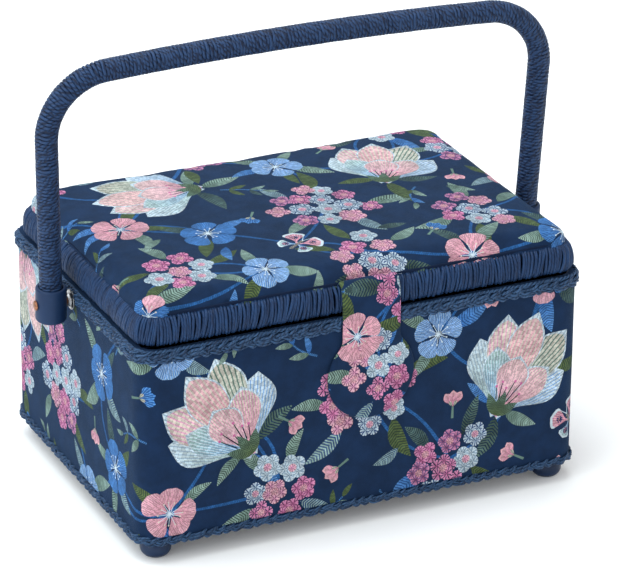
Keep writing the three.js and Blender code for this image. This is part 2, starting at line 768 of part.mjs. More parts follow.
// The rivet runs along X from its outer head, through the cup and the bush, to the clinch in the wall.
function rivet() {
  const head_x = pivot_half_width + ferrule_radius + seat_gap;
  const clinch_x = half_length - inner_outset;
  const clinch_end = half_length - lining_outset - seat_gap;
  return turnedAlongX([[0, clinch_x], [clinch_radius, clinch_x], [clinch_radius, clinch_end],
    [rivet_radius, clinch_end], [rivet_radius, head_x], [rivet_head_radius, head_x],
    [rivet_head_radius * rivet_dome_share, head_x + rivet_head_height], [0, head_x + rivet_head_height]], small_lathe_steps);
}

function bush() {
  const inner_x = half_length - lining_outset;
  const flange_x = half_length + 2 * seat_gap + top_braid_width;
  const outer_x = ferrule_inner_x - seat_gap;
  const bore = rivet_radius + rivet_clearance;
  return turnedAlongX([[bore, inner_x], [bush_radius, inner_x], [bush_radius, flange_x],
    [bush_flange_radius, flange_x], [bush_flange_radius, flange_x + bush_flange],
    [bush_radius, flange_x + bush_flange], [bush_radius, outer_x], [bore, outer_x], [bore, inner_x]],
    lathe_steps);
}

function pivots(box, pins, handle) {
  ends.forEach(([end, side]) => {
    const turn = side < 0 ? Math.PI : 0;
    const bush_mesh = add(box, `pivot_bush_${end}`, bush(), materials.steel);
    bush_mesh.position.set(0, 0, pivot_height);
    bush_mesh.rotation.z = turn;
    add(pins, `pivot_rivet_${end}`, rivet(), materials.copper).rotation.z = turn;
    add(handle, `ferrule_${end}`, ferrule(), materials.navy_plastic).position.x = side * pivot_half_width;
  });
}

// Assembly, with the whole object centred on its own box in Y

const box = new THREE.Group();
const lid = new THREE.Group();
const tab = new THREE.Group();
const pins = new THREE.Group();
const handle = new THREE.Group();

wallBoards(box);
boxBase(box);
boxCloth(box);
braids(box);
feet(box);
tray(box);
lidFrame(lid);
rimWinding(lid);
lidCushion(lid);
lidFittings(lid);
hinges(box, lid);
closureTab(box, tab);
handleArch(handle);
pivots(box, pins, handle);

pins.position.z = pivot_height;
handle.position.z = pivot_height;
handle.rotation.x = handle_lean;

const sewing_box = new THREE.Group();
const front_reach = tab_thickness - tab_wall_y;
const back_reach = half_depth + seat_gap + top_braid_width;
sewing_box.position.y = (front_reach - back_reach) / 2;
sewing_box.add(box, lid, tab, pins, handle);
sewing_box.updateMatrixWorld(true);

export default sewing_box;
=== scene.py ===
"""Sewing box: boards under printed cotton, a padded lid, braid trims and a cord-wound swing handle."""
import contextlib
import math
import random

import bpy
import numpy as np
from mathutils import Matrix, Vector, noise
from mathutils.bvhtree import BVHTree
from mathutils.geometry import delaunay_2d_cdt


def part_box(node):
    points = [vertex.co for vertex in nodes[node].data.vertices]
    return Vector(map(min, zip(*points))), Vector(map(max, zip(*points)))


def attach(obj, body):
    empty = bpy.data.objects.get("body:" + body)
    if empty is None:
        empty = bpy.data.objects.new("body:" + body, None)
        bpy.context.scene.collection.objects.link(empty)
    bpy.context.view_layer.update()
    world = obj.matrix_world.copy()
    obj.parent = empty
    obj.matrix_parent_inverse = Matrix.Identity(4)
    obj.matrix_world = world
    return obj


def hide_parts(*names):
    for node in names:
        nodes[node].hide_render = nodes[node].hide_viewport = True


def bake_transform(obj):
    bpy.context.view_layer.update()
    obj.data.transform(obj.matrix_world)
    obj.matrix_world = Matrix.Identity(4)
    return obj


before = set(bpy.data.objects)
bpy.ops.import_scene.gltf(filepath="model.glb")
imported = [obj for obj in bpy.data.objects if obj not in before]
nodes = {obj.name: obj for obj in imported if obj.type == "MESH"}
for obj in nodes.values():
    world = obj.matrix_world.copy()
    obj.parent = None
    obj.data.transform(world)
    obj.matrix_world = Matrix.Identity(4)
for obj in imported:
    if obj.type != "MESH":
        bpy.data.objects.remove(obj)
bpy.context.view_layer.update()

mm = 0.001
bpy.ops.object.select_all(action="DESELECT")

# Studio: a pale paper floor, a white surround, one broad lamp above and a softer one each side.
# The camera stands where the photograph was taken from, to the left of the front and well above it.

camera_place = Vector((-0.81883, -1.78276, 0.97109))
camera_yaw, camera_pitch, camera_roll = 0.4376, 0.4165, 0.0089
forward = Vector((math.sin(camera_yaw) * math.cos(camera_pitch), math.cos(camera_yaw) * math.cos(camera_pitch),
                  -math.sin(camera_pitch)))
level = forward.cross(Vector((0, 0, 1))).normalized()
above = level.cross(forward)
right = math.cos(camera_roll) * level + math.sin(camera_roll) * above
up = math.cos(camera_roll) * above - math.sin(camera_roll) * level
bpy.ops.object.camera_add(location=camera_place)
camera = bpy.context.object
camera.rotation_euler = Matrix((right, up, -forward)).transposed().to_euler()
camera.data.lens = 218.9
camera.data.sensor_width = 36
camera.data.clip_start = 0.05
bpy.context.scene.camera = camera


class Value:
    """A socket of a shader node, with arithmetic that adds Math nodes."""

    def __init__(self, tree, socket):
        self.tree, self.socket = tree, socket

    def math(self, operation, *others):
        return self.tree.node("ShaderNodeMath", {"operation": operation}, self, *others)

    def __add__(self, other): return self.math("ADD", other)
    def __radd__(self, other): return self.math("ADD", other)
    def __sub__(self, other): return self.math("SUBTRACT", other)
    def __rsub__(self, other): return self.tree.node("ShaderNodeMath", {"operation": "SUBTRACT"}, other, self)
    def __mul__(self, other): return self.math("MULTIPLY", other)
    def __rmul__(self, other): return self.math("MULTIPLY", other)
    def __truediv__(self, other): return self.math("DIVIDE", other)


class Finish:
    """A material whose nodes are written as expressions."""

    def __init__(self, name, **fixed):
        self.material = bpy.data.materials.new(name)
        self.material.use_nodes = True
        self.nodes = self.material.node_tree.nodes
        self.links = self.material.node_tree.links
        self.shader = self.nodes["Principled BSDF"]
        for socket, value in fixed.items():
            self.shader.inputs[socket.replace("_", " ")].default_value = value

    def plug(self, socket, value):
        if isinstance(value, Value):
            self.links.new(value.socket, socket)
        else:
            socket.default_value = value

    def node(self, kind, settings, *values, output=0, **named):
        """Adds a node: its settings first, then values or links for its sockets, in their order or by name."""
        made = self.nodes.new(kind)
        for key, value in settings.items():
            setattr(made, key, value)
        for socket, value in zip(made.inputs, values):
            self.plug(socket, value)
        for key, value in named.items():
            self.plug(made.inputs[key], value)
        return Value(self, made.outputs[output])

    def feed(self, **sockets):
        for socket, value in sockets.items():
            self.plug(self.shader.inputs[socket.replace("_", " ")], value)

    def place(self):
        return self.node("ShaderNodeTexCoord", {}, output="Object")

    def uv(self, name):
        return self.node("ShaderNodeUVMap", {"uv_map": name})

    def split(self, vector):
        made = self.node("ShaderNodeSeparateXYZ", {}, vector)
        return [Value(self, socket) for socket in made.socket.node.outputs]

    def join(self, x, y, z):
        return self.node("ShaderNodeCombineXYZ", {}, x, y, z)

    def noise(self, vector, scale, detail=2.0, roughness=0.5):
        return self.node("ShaderNodeTexNoise", {}, Vector=vector, Scale=scale, Detail=detail,
                         Roughness=roughness)

    def attribute(self, name):
        return self.node("ShaderNodeAttribute", {"attribute_name": name}, output="Color")

    def ramp(self, value, low, high, from_low=0.0, from_high=1.0):
        return self.node("ShaderNodeMapRange", {"interpolation_type": "SMOOTHSTEP"}, value, from_low, from_high,
                         low, high)

    def mix(self, share, first, second, blend="MIX"):
        made = self.nodes.new("ShaderNodeMix")
        made.data_type, made.blend_type = "RGBA", blend
        self.plug(made.inputs[0], share)
        for index, colour in ((6, first), (7, second)):
            self.plug(made.inputs[index], colour if isinstance(colour, Value) else (*colour, 1))
        return Value(self, made.outputs[2])

    def bump(self, height, depth, strength=1.0):
        return self.node("ShaderNodeBump", {}, Strength=strength, Distance=depth, Height=height)


def dress(piece, finish):
    piece.data.materials.clear()
    piece.data.materials.append(finish.material)


def lamp(name, place, size, power, colour=(1, 1, 1)):
    """A square lamp that looks at the middle of the box."""
    bpy.ops.object.light_add(type="AREA", location=place)
    light = bpy.context.object
    light.name = name
    light.data.size = size
    light.data.energy = power
    light.data.color = colour
    light.rotation_euler = (Vector((0, 0, 0.1)) - Vector(place)).to_track_quat("-Z", "Y").to_euler()


bpy.ops.mesh.primitive_plane_add(size=6.0, location=(0, 0, 0))
floor = bpy.context.object
floor.name = "floor"
paper = Finish("floor_paper", Roughness=0.9, Specular_IOR_Level=0.1, Emission_Color=(1, 1, 1, 1))
speckle = paper.noise(paper.place(), 40.0)
seen_directly = paper.node("ShaderNodeLightPath", {}, output="Is Camera Ray")
paper.feed(Base_Color=paper.mix(speckle, (0.955, 0.955, 0.955), (0.975, 0.975, 0.975)),
           Emission_Strength=seen_directly * 0.07)
dress(floor, paper)
cool_light = (0.88, 0.97, 1.0)
lamp("lamp_above", (-0.5, 0.35, 2.1), 2.2, 46, cool_light)
lamp("lamp_left", (-2.0, -0.9, 0.9), 1.4, 20, cool_light)
lamp("lamp_right", (1.9, -1.5, 1.2), 1.4, 6)

world = bpy.data.worlds.new("surround")
bpy.context.scene.world = world
world.use_nodes = True
surround = world.node_tree.nodes["Background"]
surround.inputs["Color"].default_value = (1, 1, 1, 1)
paths, seen, level = (world.node_tree.nodes.new(f"ShaderNode{kind}")
                      for kind in ("LightPath", "Math", "MapRange"))
seen.operation = "MAXIMUM"
level.inputs["To Min"].default_value = 0.74
level.inputs["To Max"].default_value = 1.0
for output, socket in ((paths.outputs["Is Camera Ray"], seen.inputs[0]),
                       (paths.outputs["Is Glossy Ray"], seen.inputs[1]),
                       (seen.outputs[0], level.inputs[0]), (level.outputs[0], surround.inputs["Strength"])):
    world.node_tree.links.new(output, socket)
bpy.context.scene.view_settings.view_transform = "Standard"

# Outer cover: one strip of printed cotton glued round the four boards, its join at the middle of the back.
# The print is cut into the cloth's own mesh: every shape of the pattern is an outline in the flat cloth, and
# each face takes the colours of the shape that lies on top there.

box_length, box_depth, box_corner = 255, 183, 10
object_shift_y = 1.7
cover_bottom, cover_top = 11.8, 123.5
cover_proud = 2.4
corner_columns = 8
tab_x, catch_z = 2.0, 88.1
print_inks = {
    "ground": (0.0060, 0.0205, 0.0600), "deep": (0.012, 0.050, 0.180), "ink": (0.006, 0.010, 0.022),
    "orchid": (0.49, 0.122, 0.280), "plum": (0.170, 0.034, 0.115), "mauve": (0.68, 0.29, 0.47),
    "salmon": (0.64, 0.300, 0.345), "shell": (0.68, 0.43, 0.46), "cream": (0.60, 0.55, 0.47),
    "white": (0.54, 0.64, 0.71), "mist": (0.29, 0.40, 0.50), "steel": (0.100, 0.165, 0.240),
    "sky": (0.120, 0.300, 0.620), "blue": (0.025, 0.130, 0.400), "stem": (0.018, 0.085, 0.235),
    "sage": (0.120, 0.200, 0.165), "mint": (0.330, 0.470, 0.420), "olive": (0.095, 0.135, 0.045),
    "moss": (0.028, 0.052, 0.034)}
along, chevron, radial, rungs = range(4)


def toward(at, turn, reach):
    """The point at a distance from a place in one direction."""
    return at[0] + reach * math.cos(turn), at[1] + reach * math.sin(turn)


class Pattern:
    """Shapes of a printed pattern in millimetres on the flat cloth, each one over those before it."""

    def __init__(self, seed):
        self.chance = random.Random(seed)
        self.shapes = []

    def lay(self, outline, at, turn, base, tip=None, thread=None, share=0.0, kind=along, count=6.0, length=1.0,
            slope=0.0, back=0.0, start=0.0):
        """outline is in the shape's own millimetres, from its foot along +X. thread draws the hatch lines."""
        cos, sin = math.cos(turn), math.sin(turn)
        points = [(at[0] + x * cos - y * sin, at[1] + x * sin + y * cos) for x, y in outline]
        if sum(ax * by - bx * ay for (ax, ay), (bx, by) in zip(points, points[1:] + points[:1])) < 0:
            points.reverse()
        inks = [print_inks[name] for name in (base, tip or base, thread or base)]
        self.shapes.append((points, (at[0], at[1], cos, sin), inks,
                            (share, kind, count, length, slope, back, start)))

    def petal(self, at, turn, length, width, base, tip, thread, share=0.35, count=7, fullness=0.62, notch=0.0,
              foot=0.1):
        """A petal that is widest at the fullness share of its length, with its tip drawn in by notch."""
        half = []
        steps = 7 if length < 14 else 13
        for step in range(steps):
            out = step / (steps - 1)
            bulge = math.sin(math.pi * min(1, out ** (math.log(0.5) / math.log(fullness))))
            half.append((length * out ** 0.8, width / 2 * max(foot * (1 - out), bulge)))
        half[-1] = (length * (1 - notch), 0)
        self.lay([(x, -y) for x, y in half[:-1]] + half[::-1], at, turn, base, tip, thread, share, along, count,
                 length, back=length * 0.5)

    def leaf(self, at, turn, length, width, base, tip, thread, bend=0.0, share=0.3, pitch=1.15):
        """Two halves meet on the midrib, each hatched towards the tip. bend curves the midrib sideways."""
        steps = 8
        rib = [(length * i / steps, bend * length * math.sin(math.pi * i / steps)) for i in range(steps + 1)]
        swell = [math.sin(math.pi * (i / steps) ** 0.85) ** 0.9 for i in range(steps + 1)]
        for side in (1, -1):
            edge = [(x, y + side * width / 2 * s) for (x, y), s in zip(rib, swell)]
            self.lay(rib + edge[-2:0:-1], at, turn, base, tip, thread, share, chevron, 1 / pitch, length,
                     slope=0.55, back=bend)

    def disc(self, at, radius, base, tip, thread, share, spokes):
        """A round stitched outwards from its middle, made of wedges."""
        wedges = 7
        for wedge in range(wedges):
            low, high = math.tau * wedge / wedges, math.tau * (wedge + 1) / wedges
            rim = [toward((0, 0), low + (high - low) * i / 2, radius) for i in range(3)]
            self.lay([(0, 0)] + rim, at, 0.0, base, tip, thread, share, radial, spokes, radius,
                     start=(low + high) / 2)

    def blob(self, at, radius, ink, sides):
        self.lay([toward((0, 0), math.tau * i / sides, radius) for i in range(sides)], at, 0.0, ink,
                 length=radius)

    def stroke(self, points, width, base, thread, share=0.35, pitch=1.1, taper=0.6):
        """A stitched line of a given width through points, thinner at its far end."""
        run = 0.0
        over = 0.15
        for index, (first, second) in enumerate(zip(points, points[1:])):
            span = math.dist(first, second)
            turn = math.atan2(second[1] - first[1], second[0] - first[0])
            low = width / 2 * (1 - (1 - taper) * index / len(points))
            high = width / 2 * (1 - (1 - taper) * (index + 1) / len(points))
            self.lay([(-over, -low), (span + over, -high), (span + over, high), (-over, low)], first, turn,
                     base, None, thread, share, rungs, 1 / pitch, span, slope=0.6, start=run)
            run += span

    def line(self, first, second, width, ink):
        """A single straight thread."""
        span = math.dist(first, second)
        turn = math.atan2(second[1] - first[1], second[0] - first[0])
        self.lay([(0, -width / 2), (span, -width * 0.3), (span, width * 0.3), (0, width / 2)], first, turn, ink)

    def rays(self, at, radius, count, ink, width, knobs):
        """Straight threads out of one point, with a knot at the end of each."""
        for k in range(count):
            angle = math.tau * (k + 0.25 * self.chance.uniform(-1, 1)) / count
            end = toward(at, angle, radius * self.chance.uniform(0.75, 1.0))
            self.line(at, end, width, ink)
            self.blob(end, width * 1.25, knobs, 6)

    def floret(self, at, turn, size, pale=False):
        """A small round flower of five stitched petals round a light middle."""
        if pale:
            inks = self.chance.choice([("steel", "mist", "white", 0.50), ("mist", "white", "deep", 0.38)])
        else:
            inks = self.chance.choice([("orchid", "mauve", "ground", 0.34), ("orchid", "mauve", "plum", 0.34),
                                       ("mauve", "shell", "plum", 0.32), ("plum", "mauve", "deep", 0.28)])
        petals = self.chance.choice([4, 5, 5])
        for k in range(petals):
            self.disc(toward(at, turn + k * math.tau / petals, size * 0.285), size * 0.232, *inks, 11)
        self.disc(at, size * 0.155, "mauve" if pale else "shell", "shell" if pale else "salmon",
                  "plum", 0.22, 8)

    def cluster(self, at, turn, rows):
        """A head of florets packed like a bunch, widest in its middle row."""
        size = 15.0
        seats = []
        for row, count in enumerate(rows):
            for k in range(count):
                x = (k - (count - 1) / 2) * size * 0.93
                y = (row - (len(rows) - 1) / 2) * size * 0.82
                x += self.chance.uniform(-1, 1) * size * 0.12
                y += self.chance.uniform(-1, 1) * size * 0.12
                seats.append((at[0] + x * math.cos(turn) - y * math.sin(turn),
                              at[1] + x * math.sin(turn) + y * math.cos(turn)))
        self.chance.shuffle(seats)
        for k, seat in enumerate(seats):
            self.floret(seat, self.chance.uniform(0, 6.3), size * self.chance.uniform(0.86, 1.08),
                        k % 5 in (1, 3))

    def blossom(self, at, turn, radius, colour):
        """An open flower of five petals, with a dark eye and a star of stamens."""
        petals = 5
        inks = {"pink": ("salmon", "shell", "orchid", 0.24), "blue": ("deep", "blue", "sky", 0.30),
                "sky": ("blue", "sky", "white", 0.24), "mixed": ("salmon", "shell", "mauve", 0.26)}
        warm = colour in ("pink", "mixed")
        for k in range(petals):
            angle = turn + (k + self.chance.uniform(-0.08, 0.08)) * math.tau / petals
            length = radius * self.chance.uniform(0.92, 1.06)
            shade = inks["blue" if colour == "mixed" and k % 2 else colour]
            self.petal(at, angle, length, length * 4.3 / petals, *shade, 13, notch=0.07)
        self.disc(at, radius * 0.15, "deep", "blue" if warm else "ink", "white", 0.25, 11)
        self.rays(at, radius * 0.44, 12, "white", 0.42, "cream" if warm else "white")

    def bud(self, at, turn, size, colour):
        """A closed flower on a short stalk, with a pale cup."""
        inks = {"pink": ("orchid", "shell", "salmon"), "blue": ("deep", "blue", "sky")}[colour]
        head = toward(at, turn, size * 1.1)
        self.line(at, head, size * 0.16, "sage")
        for spread in (-0.55, 0.55, 0):
            self.petal(toward(head, turn, -0.35 * size), turn + spread, size, size * 0.55, *inks, 0.3, 6,
                       fullness=0.6)
        for spread in (-0.5, 0.5):
            self.petal(toward(head, turn, -0.42 * size), turn + spread, size * 0.48, size * 0.2, "sage",
                       "cream", "moss", 0.2, 3)

    def leaf_of(self, at, turn, length):
        """A leaf in one of the pattern's greens and blues, hatched like straight stitches."""
        shade = self.chance.choice(["sage", "olive", "sage", "olive", "sky", "moss", "mint"])
        base, tip, thread, share = {"sage": ("sage", "mint", "moss", 0.34),
                                    "olive": ("olive", "olive", "moss", 0.42),
                                    "sky": ("blue", "sky", "deep", 0.30),
                                    "moss": ("moss", "sage", "ground", 0.40),
                                    "mint": ("deep", "steel", "mint", 0.40)}[shade]
        self.leaf(at, turn, length, length * self.chance.uniform(0.30, 0.38), base, tip, thread,
                  bend=self.chance.uniform(-0.12, 0.12), share=share, pitch=length * 0.062)

    def foliage(self, at, radius, count, length, start):
        """Leaves that look out from behind a flower."""
        for k in range(count):
            angle = start + math.tau * k / count + self.chance.uniform(-0.3, 0.3)
            self.leaf_of(toward(at, angle, radius), angle + self.chance.uniform(-0.3, 0.3),
                         length * self.chance.uniform(0.8, 1.15))

    def arc(self, first, second, sag):
        """Points of a bowed line between two places."""
        dx, dy = second[0] - first[0], second[1] - first[1]
        points = []
        for t in (i / 10 for i in range(11)):
            bow = math.sin(math.pi * t)
            points.append((first[0] + dx * t - dy * sag * bow, first[1] + dy * t + dx * sag * bow))
        return points

    def sprig(self, at, turn, length, pairs):
        """A stalk with pairs of leaves that shrink towards its tip."""
        end = toward(at, turn, length)
        rib = self.arc(at, end, self.chance.uniform(-0.14, 0.14))
        self.stroke(rib, 1.3, "stem", "sky", 0.25)
        size = length / (pairs + 0.6)
        for k in range(pairs):
            foot = rib[min(9, round((k + 0.55) / pairs * 9))]
            for side in (1, -1):
                self.leaf_of(foot, turn + side * self.chance.uniform(0.62, 0.85), size * (1.35 - 0.16 * k))
        self.leaf_of(end, turn, size * 1.05)

    def magnolia(self, at, turn, size):
        """The pattern's large pale flower, seen from its side: a fan of long petals inside a white edge."""
        foot = toward(at, turn, -0.46 * size)
        for spread, length, width, inks in (
                (0.62, 0.78, 0.33, ("mint", "white", "mist", 0.30)),
                (-0.66, 0.74, 0.34, ("mist", "white", "sky", 0.26)),
                (0.34, 0.95, 0.34, ("shell", "cream", "mauve", 0.26)),
                (-0.30, 0.98, 0.36, ("mint", "cream", "sage", 0.32)),
                (0.02, 1.00, 0.34, ("salmon", "shell", "cream", 0.30)),
                (0.46, 0.66, 0.27, ("sky", "mint", "white", 0.30)),
                (-0.44, 0.64, 0.29, ("salmon", "cream", "mauve", 0.30)),
                (0.04, 0.58, 0.32, ("mauve", "shell", "cream", 0.28))):
            angle = turn + spread * 1.05 + self.chance.uniform(-0.04, 0.04)
            self.petal(foot, angle, size * length * 1.02, size * (width + 0.028), "white", "white", "mist",
                       0.3, 24, notch=-0.01, fullness=0.64, foot=0.25)
            self.petal(foot, angle, size * length, size * width, *inks, 21, notch=0.03, fullness=0.64, foot=0.2)
        for spread in (-0.5, -0.3, -0.12, 0.06, 0.24, 0.42):
            end = toward(foot, turn + spread, size * self.chance.uniform(0.26, 0.38))
            self.line(toward(foot, turn + spread, 0.16 * size), end, 0.8, "ink")
            self.blob(end, 0.85, "orchid", 7)
        for spread in (-0.75, 0.75, 0.0):
            self.leaf(foot, turn + spread, size * 0.24, size * 0.10, "olive", "sage", "moss", share=0.35)

    def butterfly(self, at, turn, size):
        """A small butterfly seen from above."""
        for side in (1, -1):
            for spread, length, width, inks in ((0.72, 1.0, 0.80, ("salmon", "shell", "orchid")),
                                                (2.05, 0.74, 0.62, ("sky", "mint", "white"))):
                angle = turn + side * spread
                self.petal(at, angle, size * length * 1.07, size * width * 1.12, "white", "white", "white", 0,
                           fullness=0.72)
                self.petal(at, angle, size * length * 0.97, size * width * 0.94, *inks, 0.3, 9, fullness=0.72)
                self.disc(toward(at, angle, size * length * 0.62), size * 0.15, "ink", "deep", "salmon", 0.3, 8)
        nose = toward(at, turn, 0.38 * size)
        self.stroke([toward(at, turn, -0.5 * size), at, nose], size * 0.15, "ink", "cream", 0.3, 1.0, 0.8)
        for side in (1, -1):
            self.line(nose, toward(nose, turn + side * 0.45, size * 0.5), 0.5, "white")


def apart(place, others, reach, width):
    """Whether a place is clear of every (x, y, reach) before it, also round the join where width is given."""
    for x, y, other in others:
        dx = abs(place[0] - x)
        dx = min(dx, width - dx) if width else dx
        if math.hypot(dx, place[1] - y) < reach + other:
            return False
    return True


def compose(pattern, low, high, large, width=None):
    """Fills a field between two corners: bunches, flowers and sprays with leaves, then small things."""
    chance = pattern.chance
    taken = [(x, y, reach) for _, x, y, reach, _ in large]
    plan = list(large)
    for kind, reach, tries in (("cluster", 25, 60), ("blossom", 19, 300), ("sprig", 14.5, 400),
                               ("bud", 10.5, 400), ("leaf", 8.5, 500)):
        for _ in range(tries):
            place = (chance.uniform(low[0], high[0]), chance.uniform(low[1], high[1]))
            if apart(place, taken, reach, width):
                taken.append((*place, reach))
                plan.append((kind, *place, reach, chance.uniform(0, math.tau)))
    heads = [item for item in plan if item[0] in ("magnolia", "bunch", "cluster", "blossom", "butterfly")]
    for item in heads:
        others = sorted(heads, key=lambda other: math.dist(item[1:3], other[1:3]))[1:3]
        for other in others:
            if math.dist(item[1:3], other[1:3]) < 95 and chance.random() < 0.75:
                stalk = pattern.arc(item[1:3], other[1:3], chance.uniform(-0.22, 0.22))
                pattern.stroke(stalk, 2.1, "stem", "blue", 0.30)
    for kind, x, y, reach, turn in plan:
        if kind == "magnolia":
            pattern.foliage(toward((x, y), turn, -0.8 * reach), 5, 4, 26, turn)
        elif kind in ("bunch", "cluster"):
            pattern.foliage((x, y), reach * 0.72, 5, 25, turn)
        elif kind == "blossom":
            pattern.foliage((x, y), 8, chance.choice([3, 4, 5]), 24, turn)
    rows = {"bunch": [(2, 3, 4, 3, 2), (1, 3, 4, 4, 2), (2, 4, 4, 3)],
            "cluster": [(2, 3, 2), (1, 2, 3, 2), (2, 3, 3, 1)]}
    for kind, x, y, reach, turn in plan:
        at = (x, y)
        if kind == "magnolia":
            pattern.magnolia(at, turn, reach * 2.1)
        elif kind == "butterfly":
            pattern.butterfly(at, turn, reach * 1.15)
        elif kind in rows:
            pattern.cluster(at, turn, chance.choice(rows[kind]))
        elif kind == "blossom":
            radius = chance.uniform(14.5, 17.5)
            pattern.blossom(at, turn, radius, chance.choice(["pink", "blue", "mixed", "sky", "blue"]))
        elif kind == "sprig":
            pattern.sprig(toward(at, turn, -12), turn, 23, 2)
        elif kind == "bud":
            pattern.bud(toward(at, turn, -9), turn, 9.5, chance.choice(["pink", "pink", "blue"]))
        else:
            pattern.leaf_of(toward(at, turn, -8), turn, 17)


def cut_cloth(outline, pattern, folds=(), loose=()):
    """Cuts a pattern into flat cloth. Gives the points, the triangles and what each corner shows."""
    points = [Vector(point) for point in outline]
    faces = [list(range(len(points)))]
    low, high = np.min(outline, axis=0), np.max(outline, axis=0)
    shapes = []
    for points_in, *look in pattern.shapes:
        corners = np.array(points_in)
        if (corners.max(0) > low).all() and (corners.min(0) < high).all():
            shapes.append(look)
            faces.append(list(range(len(points), len(points) + len(points_in))))
            points += [Vector(point) for point in points_in]
    edges = []
    for first, second in folds:
        edges.append((len(points), len(points) + 1))
        points += [Vector(first), Vector(second)]
    points += [Vector(point) for point in loose]
    out = delaunay_2d_cdt(points, edges, faces, 1, 1e-4, True)
    flat = np.array([tuple(point) for point in out[0]])
    kept = [(face, max(source)) for face, source in zip(out[2], out[5]) if 0 in source]
    used, triangles = np.unique([face for face, _ in kept], return_inverse=True)
    flat, triangles = flat[used], triangles.reshape(-1, 3)
    top = np.array([source for _, source in kept])
    return flat, triangles, corner_marks(flat[triangles], top, shapes)


def corner_marks(corners, top, shapes):
    """The two inks, the hatch count and the hatch share at every corner of every triangle."""
    table = [((0, 0, 1, 0), (print_inks["ground"],) * 3, (0, 0, 1, 1, 0, 0, 0))] + shapes
    frames, inks, marks = (np.array([row[part] for row in table])[top] for part in range(3))
    dx, dy = np.moveaxis(corners - frames[:, None, :2], -1, 0)
    cos, sin = frames[:, None, 2], frames[:, None, 3]
    x = dx * cos + dy * sin
    y = dy * cos - dx * sin
    share, kind, count, length, slope, back, start = np.moveaxis(
        np.broadcast_to(marks[:, None], (*x.shape, 7)), -1, 0)
    rib = back * length * np.sin(np.pi * np.clip(x / length, 0, 1))
    angle = np.arctan2(y, x)
    angle = start + (angle - start + np.pi) % (2 * np.pi) - np.pi
    angle = np.where(np.hypot(x, y) < 1e-3, start, angle)
    fan = y / np.maximum(x + back, 0.2 * length)
    kinds = [kind == along, kind == chevron, kind == radial]
    phase = np.select(
        kinds, [fan * count * 1.5, (x - slope * abs(y - rib)) * count, angle * count / (2 * np.pi)],
        (start + x - slope * y) * count)
    far = np.hypot(x, y)
    run = np.select(kinds, [far, abs(y - rib) * 1.3, far], y) + 50
    out = np.clip(np.where(kind == radial, far / length, x / length), 0, 1)[..., None]
    dye = inks[:, None, 0] * (1 - out) + inks[:, None, 1] * out
    thread = np.broadcast_to(inks[:, None, 2], dye.shape)
    return dye, thread, phase, share, run


def fit(piece, finish, body, node):
    """Gives a piece its material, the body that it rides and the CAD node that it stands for."""
    dress(piece, finish)
    if body:
        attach(piece, body)
    if node:
        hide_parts(node)


def new_piece(name, points, faces, finish, body, node):
    """A smooth mesh piece from points in millimetres."""
    mesh = bpy.data.meshes.new(name)
    mesh.from_pydata((np.asarray(points) * mm).tolist(), [], faces)
    mesh.shade_smooth()
    piece = bpy.data.objects.new(name, mesh)
    bpy.context.scene.collection.objects.link(piece)
    fit(piece, finish, body, node)
    return piece


def lay_uv(piece, name, values):
    piece.data.uv_layers.new(name=name).data.foreach_set("uv", values.ravel())


def cloth_piece(name, points, cut, finish, body, node, behind=None):
    """Cut cloth set at points, with its print. behind holds plain points and faces for its back."""
    flat, triangles, (dye, thread, phase, share, run) = cut
    back_points, back_faces = behind or (np.zeros((0, 3)), [])
    piece = new_piece(name, np.concatenate([points, back_points]), triangles.tolist() + back_faces, finish,
                      body, node)
    count, total = triangles.size, len(piece.data.loops)

    def spread(values, rest):
        """Values at the corners of the cut cloth, and the rest at those behind it."""
        whole = np.tile(np.array(rest, float), (total, 1))
        values = values.reshape(count, -1)
        whole[:count, :values.shape[1]] = values
        return whole

    for key, colours in (("dye", dye), ("thread", thread)):
        layer = piece.data.color_attributes.new(key, "FLOAT_COLOR", "CORNER")
        layer.data.foreach_set("color", spread(colours, (*print_inks["ground"], 1.0)).ravel())
    for key, values in (("hatch", np.stack([phase, share], -1)), ("stitch", run), ("cloth", flat[triangles])):
        lay_uv(piece, key, spread(values, (0, 0)))
    return piece


@contextlib.contextmanager
def editing(piece):
    """Edit mode on one piece, with all of it selected."""
    bpy.ops.object.select_all(action="DESELECT")
    bpy.context.view_layer.objects.active = piece
    piece.select_set(True)
    bpy.ops.object.mode_set(mode="EDIT")
    bpy.ops.mesh.select_all(action="SELECT")
    yield
    bpy.ops.object.mode_set(mode="OBJECT")


# Threads of the weave lie half a millimetre apart. A hatch line is a row of stitches, each a shade of its own.
cotton = Finish("printed_cotton", Roughness=0.88, Specular_IOR_Level=0.12, Sheen_Weight=0.06,
                Sheen_Roughness=0.5, Sheen_Tint=(0.35, 0.65, 1.0, 1.0))
place = cotton.place()
wander = cotton.noise(place, 260.0, 3.0) - 0.5
phase, share, _ = cotton.split(cotton.uv("hatch"))
swing = (phase + wander * 0.45).math("PINGPONG", 0.5) * 2.0
sewn = cotton.ramp(share, 0.0, 1.0, 0.01, 0.05)
line = cotton.ramp(share - swing, 0.0, 1.0, -0.10, 0.10) * sewn
inked = cotton.mix(line, cotton.attribute("dye"), cotton.attribute("thread"))
run, _, _ = cotton.split(cotton.uv("stitch"))
thread_row = ((phase + wander * 0.35) * 2.0).math("FLOOR") * 0.37
stitches = run / 2.3 + cotton.node("ShaderNodeTexWhiteNoise", {"noise_dimensions": "1D"}, W=thread_row) * 3.0
each = cotton.node("ShaderNodeTexWhiteNoise", {"noise_dimensions": "2D"},
                   cotton.join(thread_row, stitches.math("FLOOR"), 0.0))
ends = stitches.math("FRACT").math("PINGPONG", 0.5)
stitch_tone = 1.0 - sewn * (1.0 - cotton.ramp(each, 0.66, 1.10) * cotton.ramp(ends, 0.62, 1.0, 0.0, 0.12))
warp, weft, _ = cotton.split(cotton.uv("cloth"))
threads = math.tau / 0.5
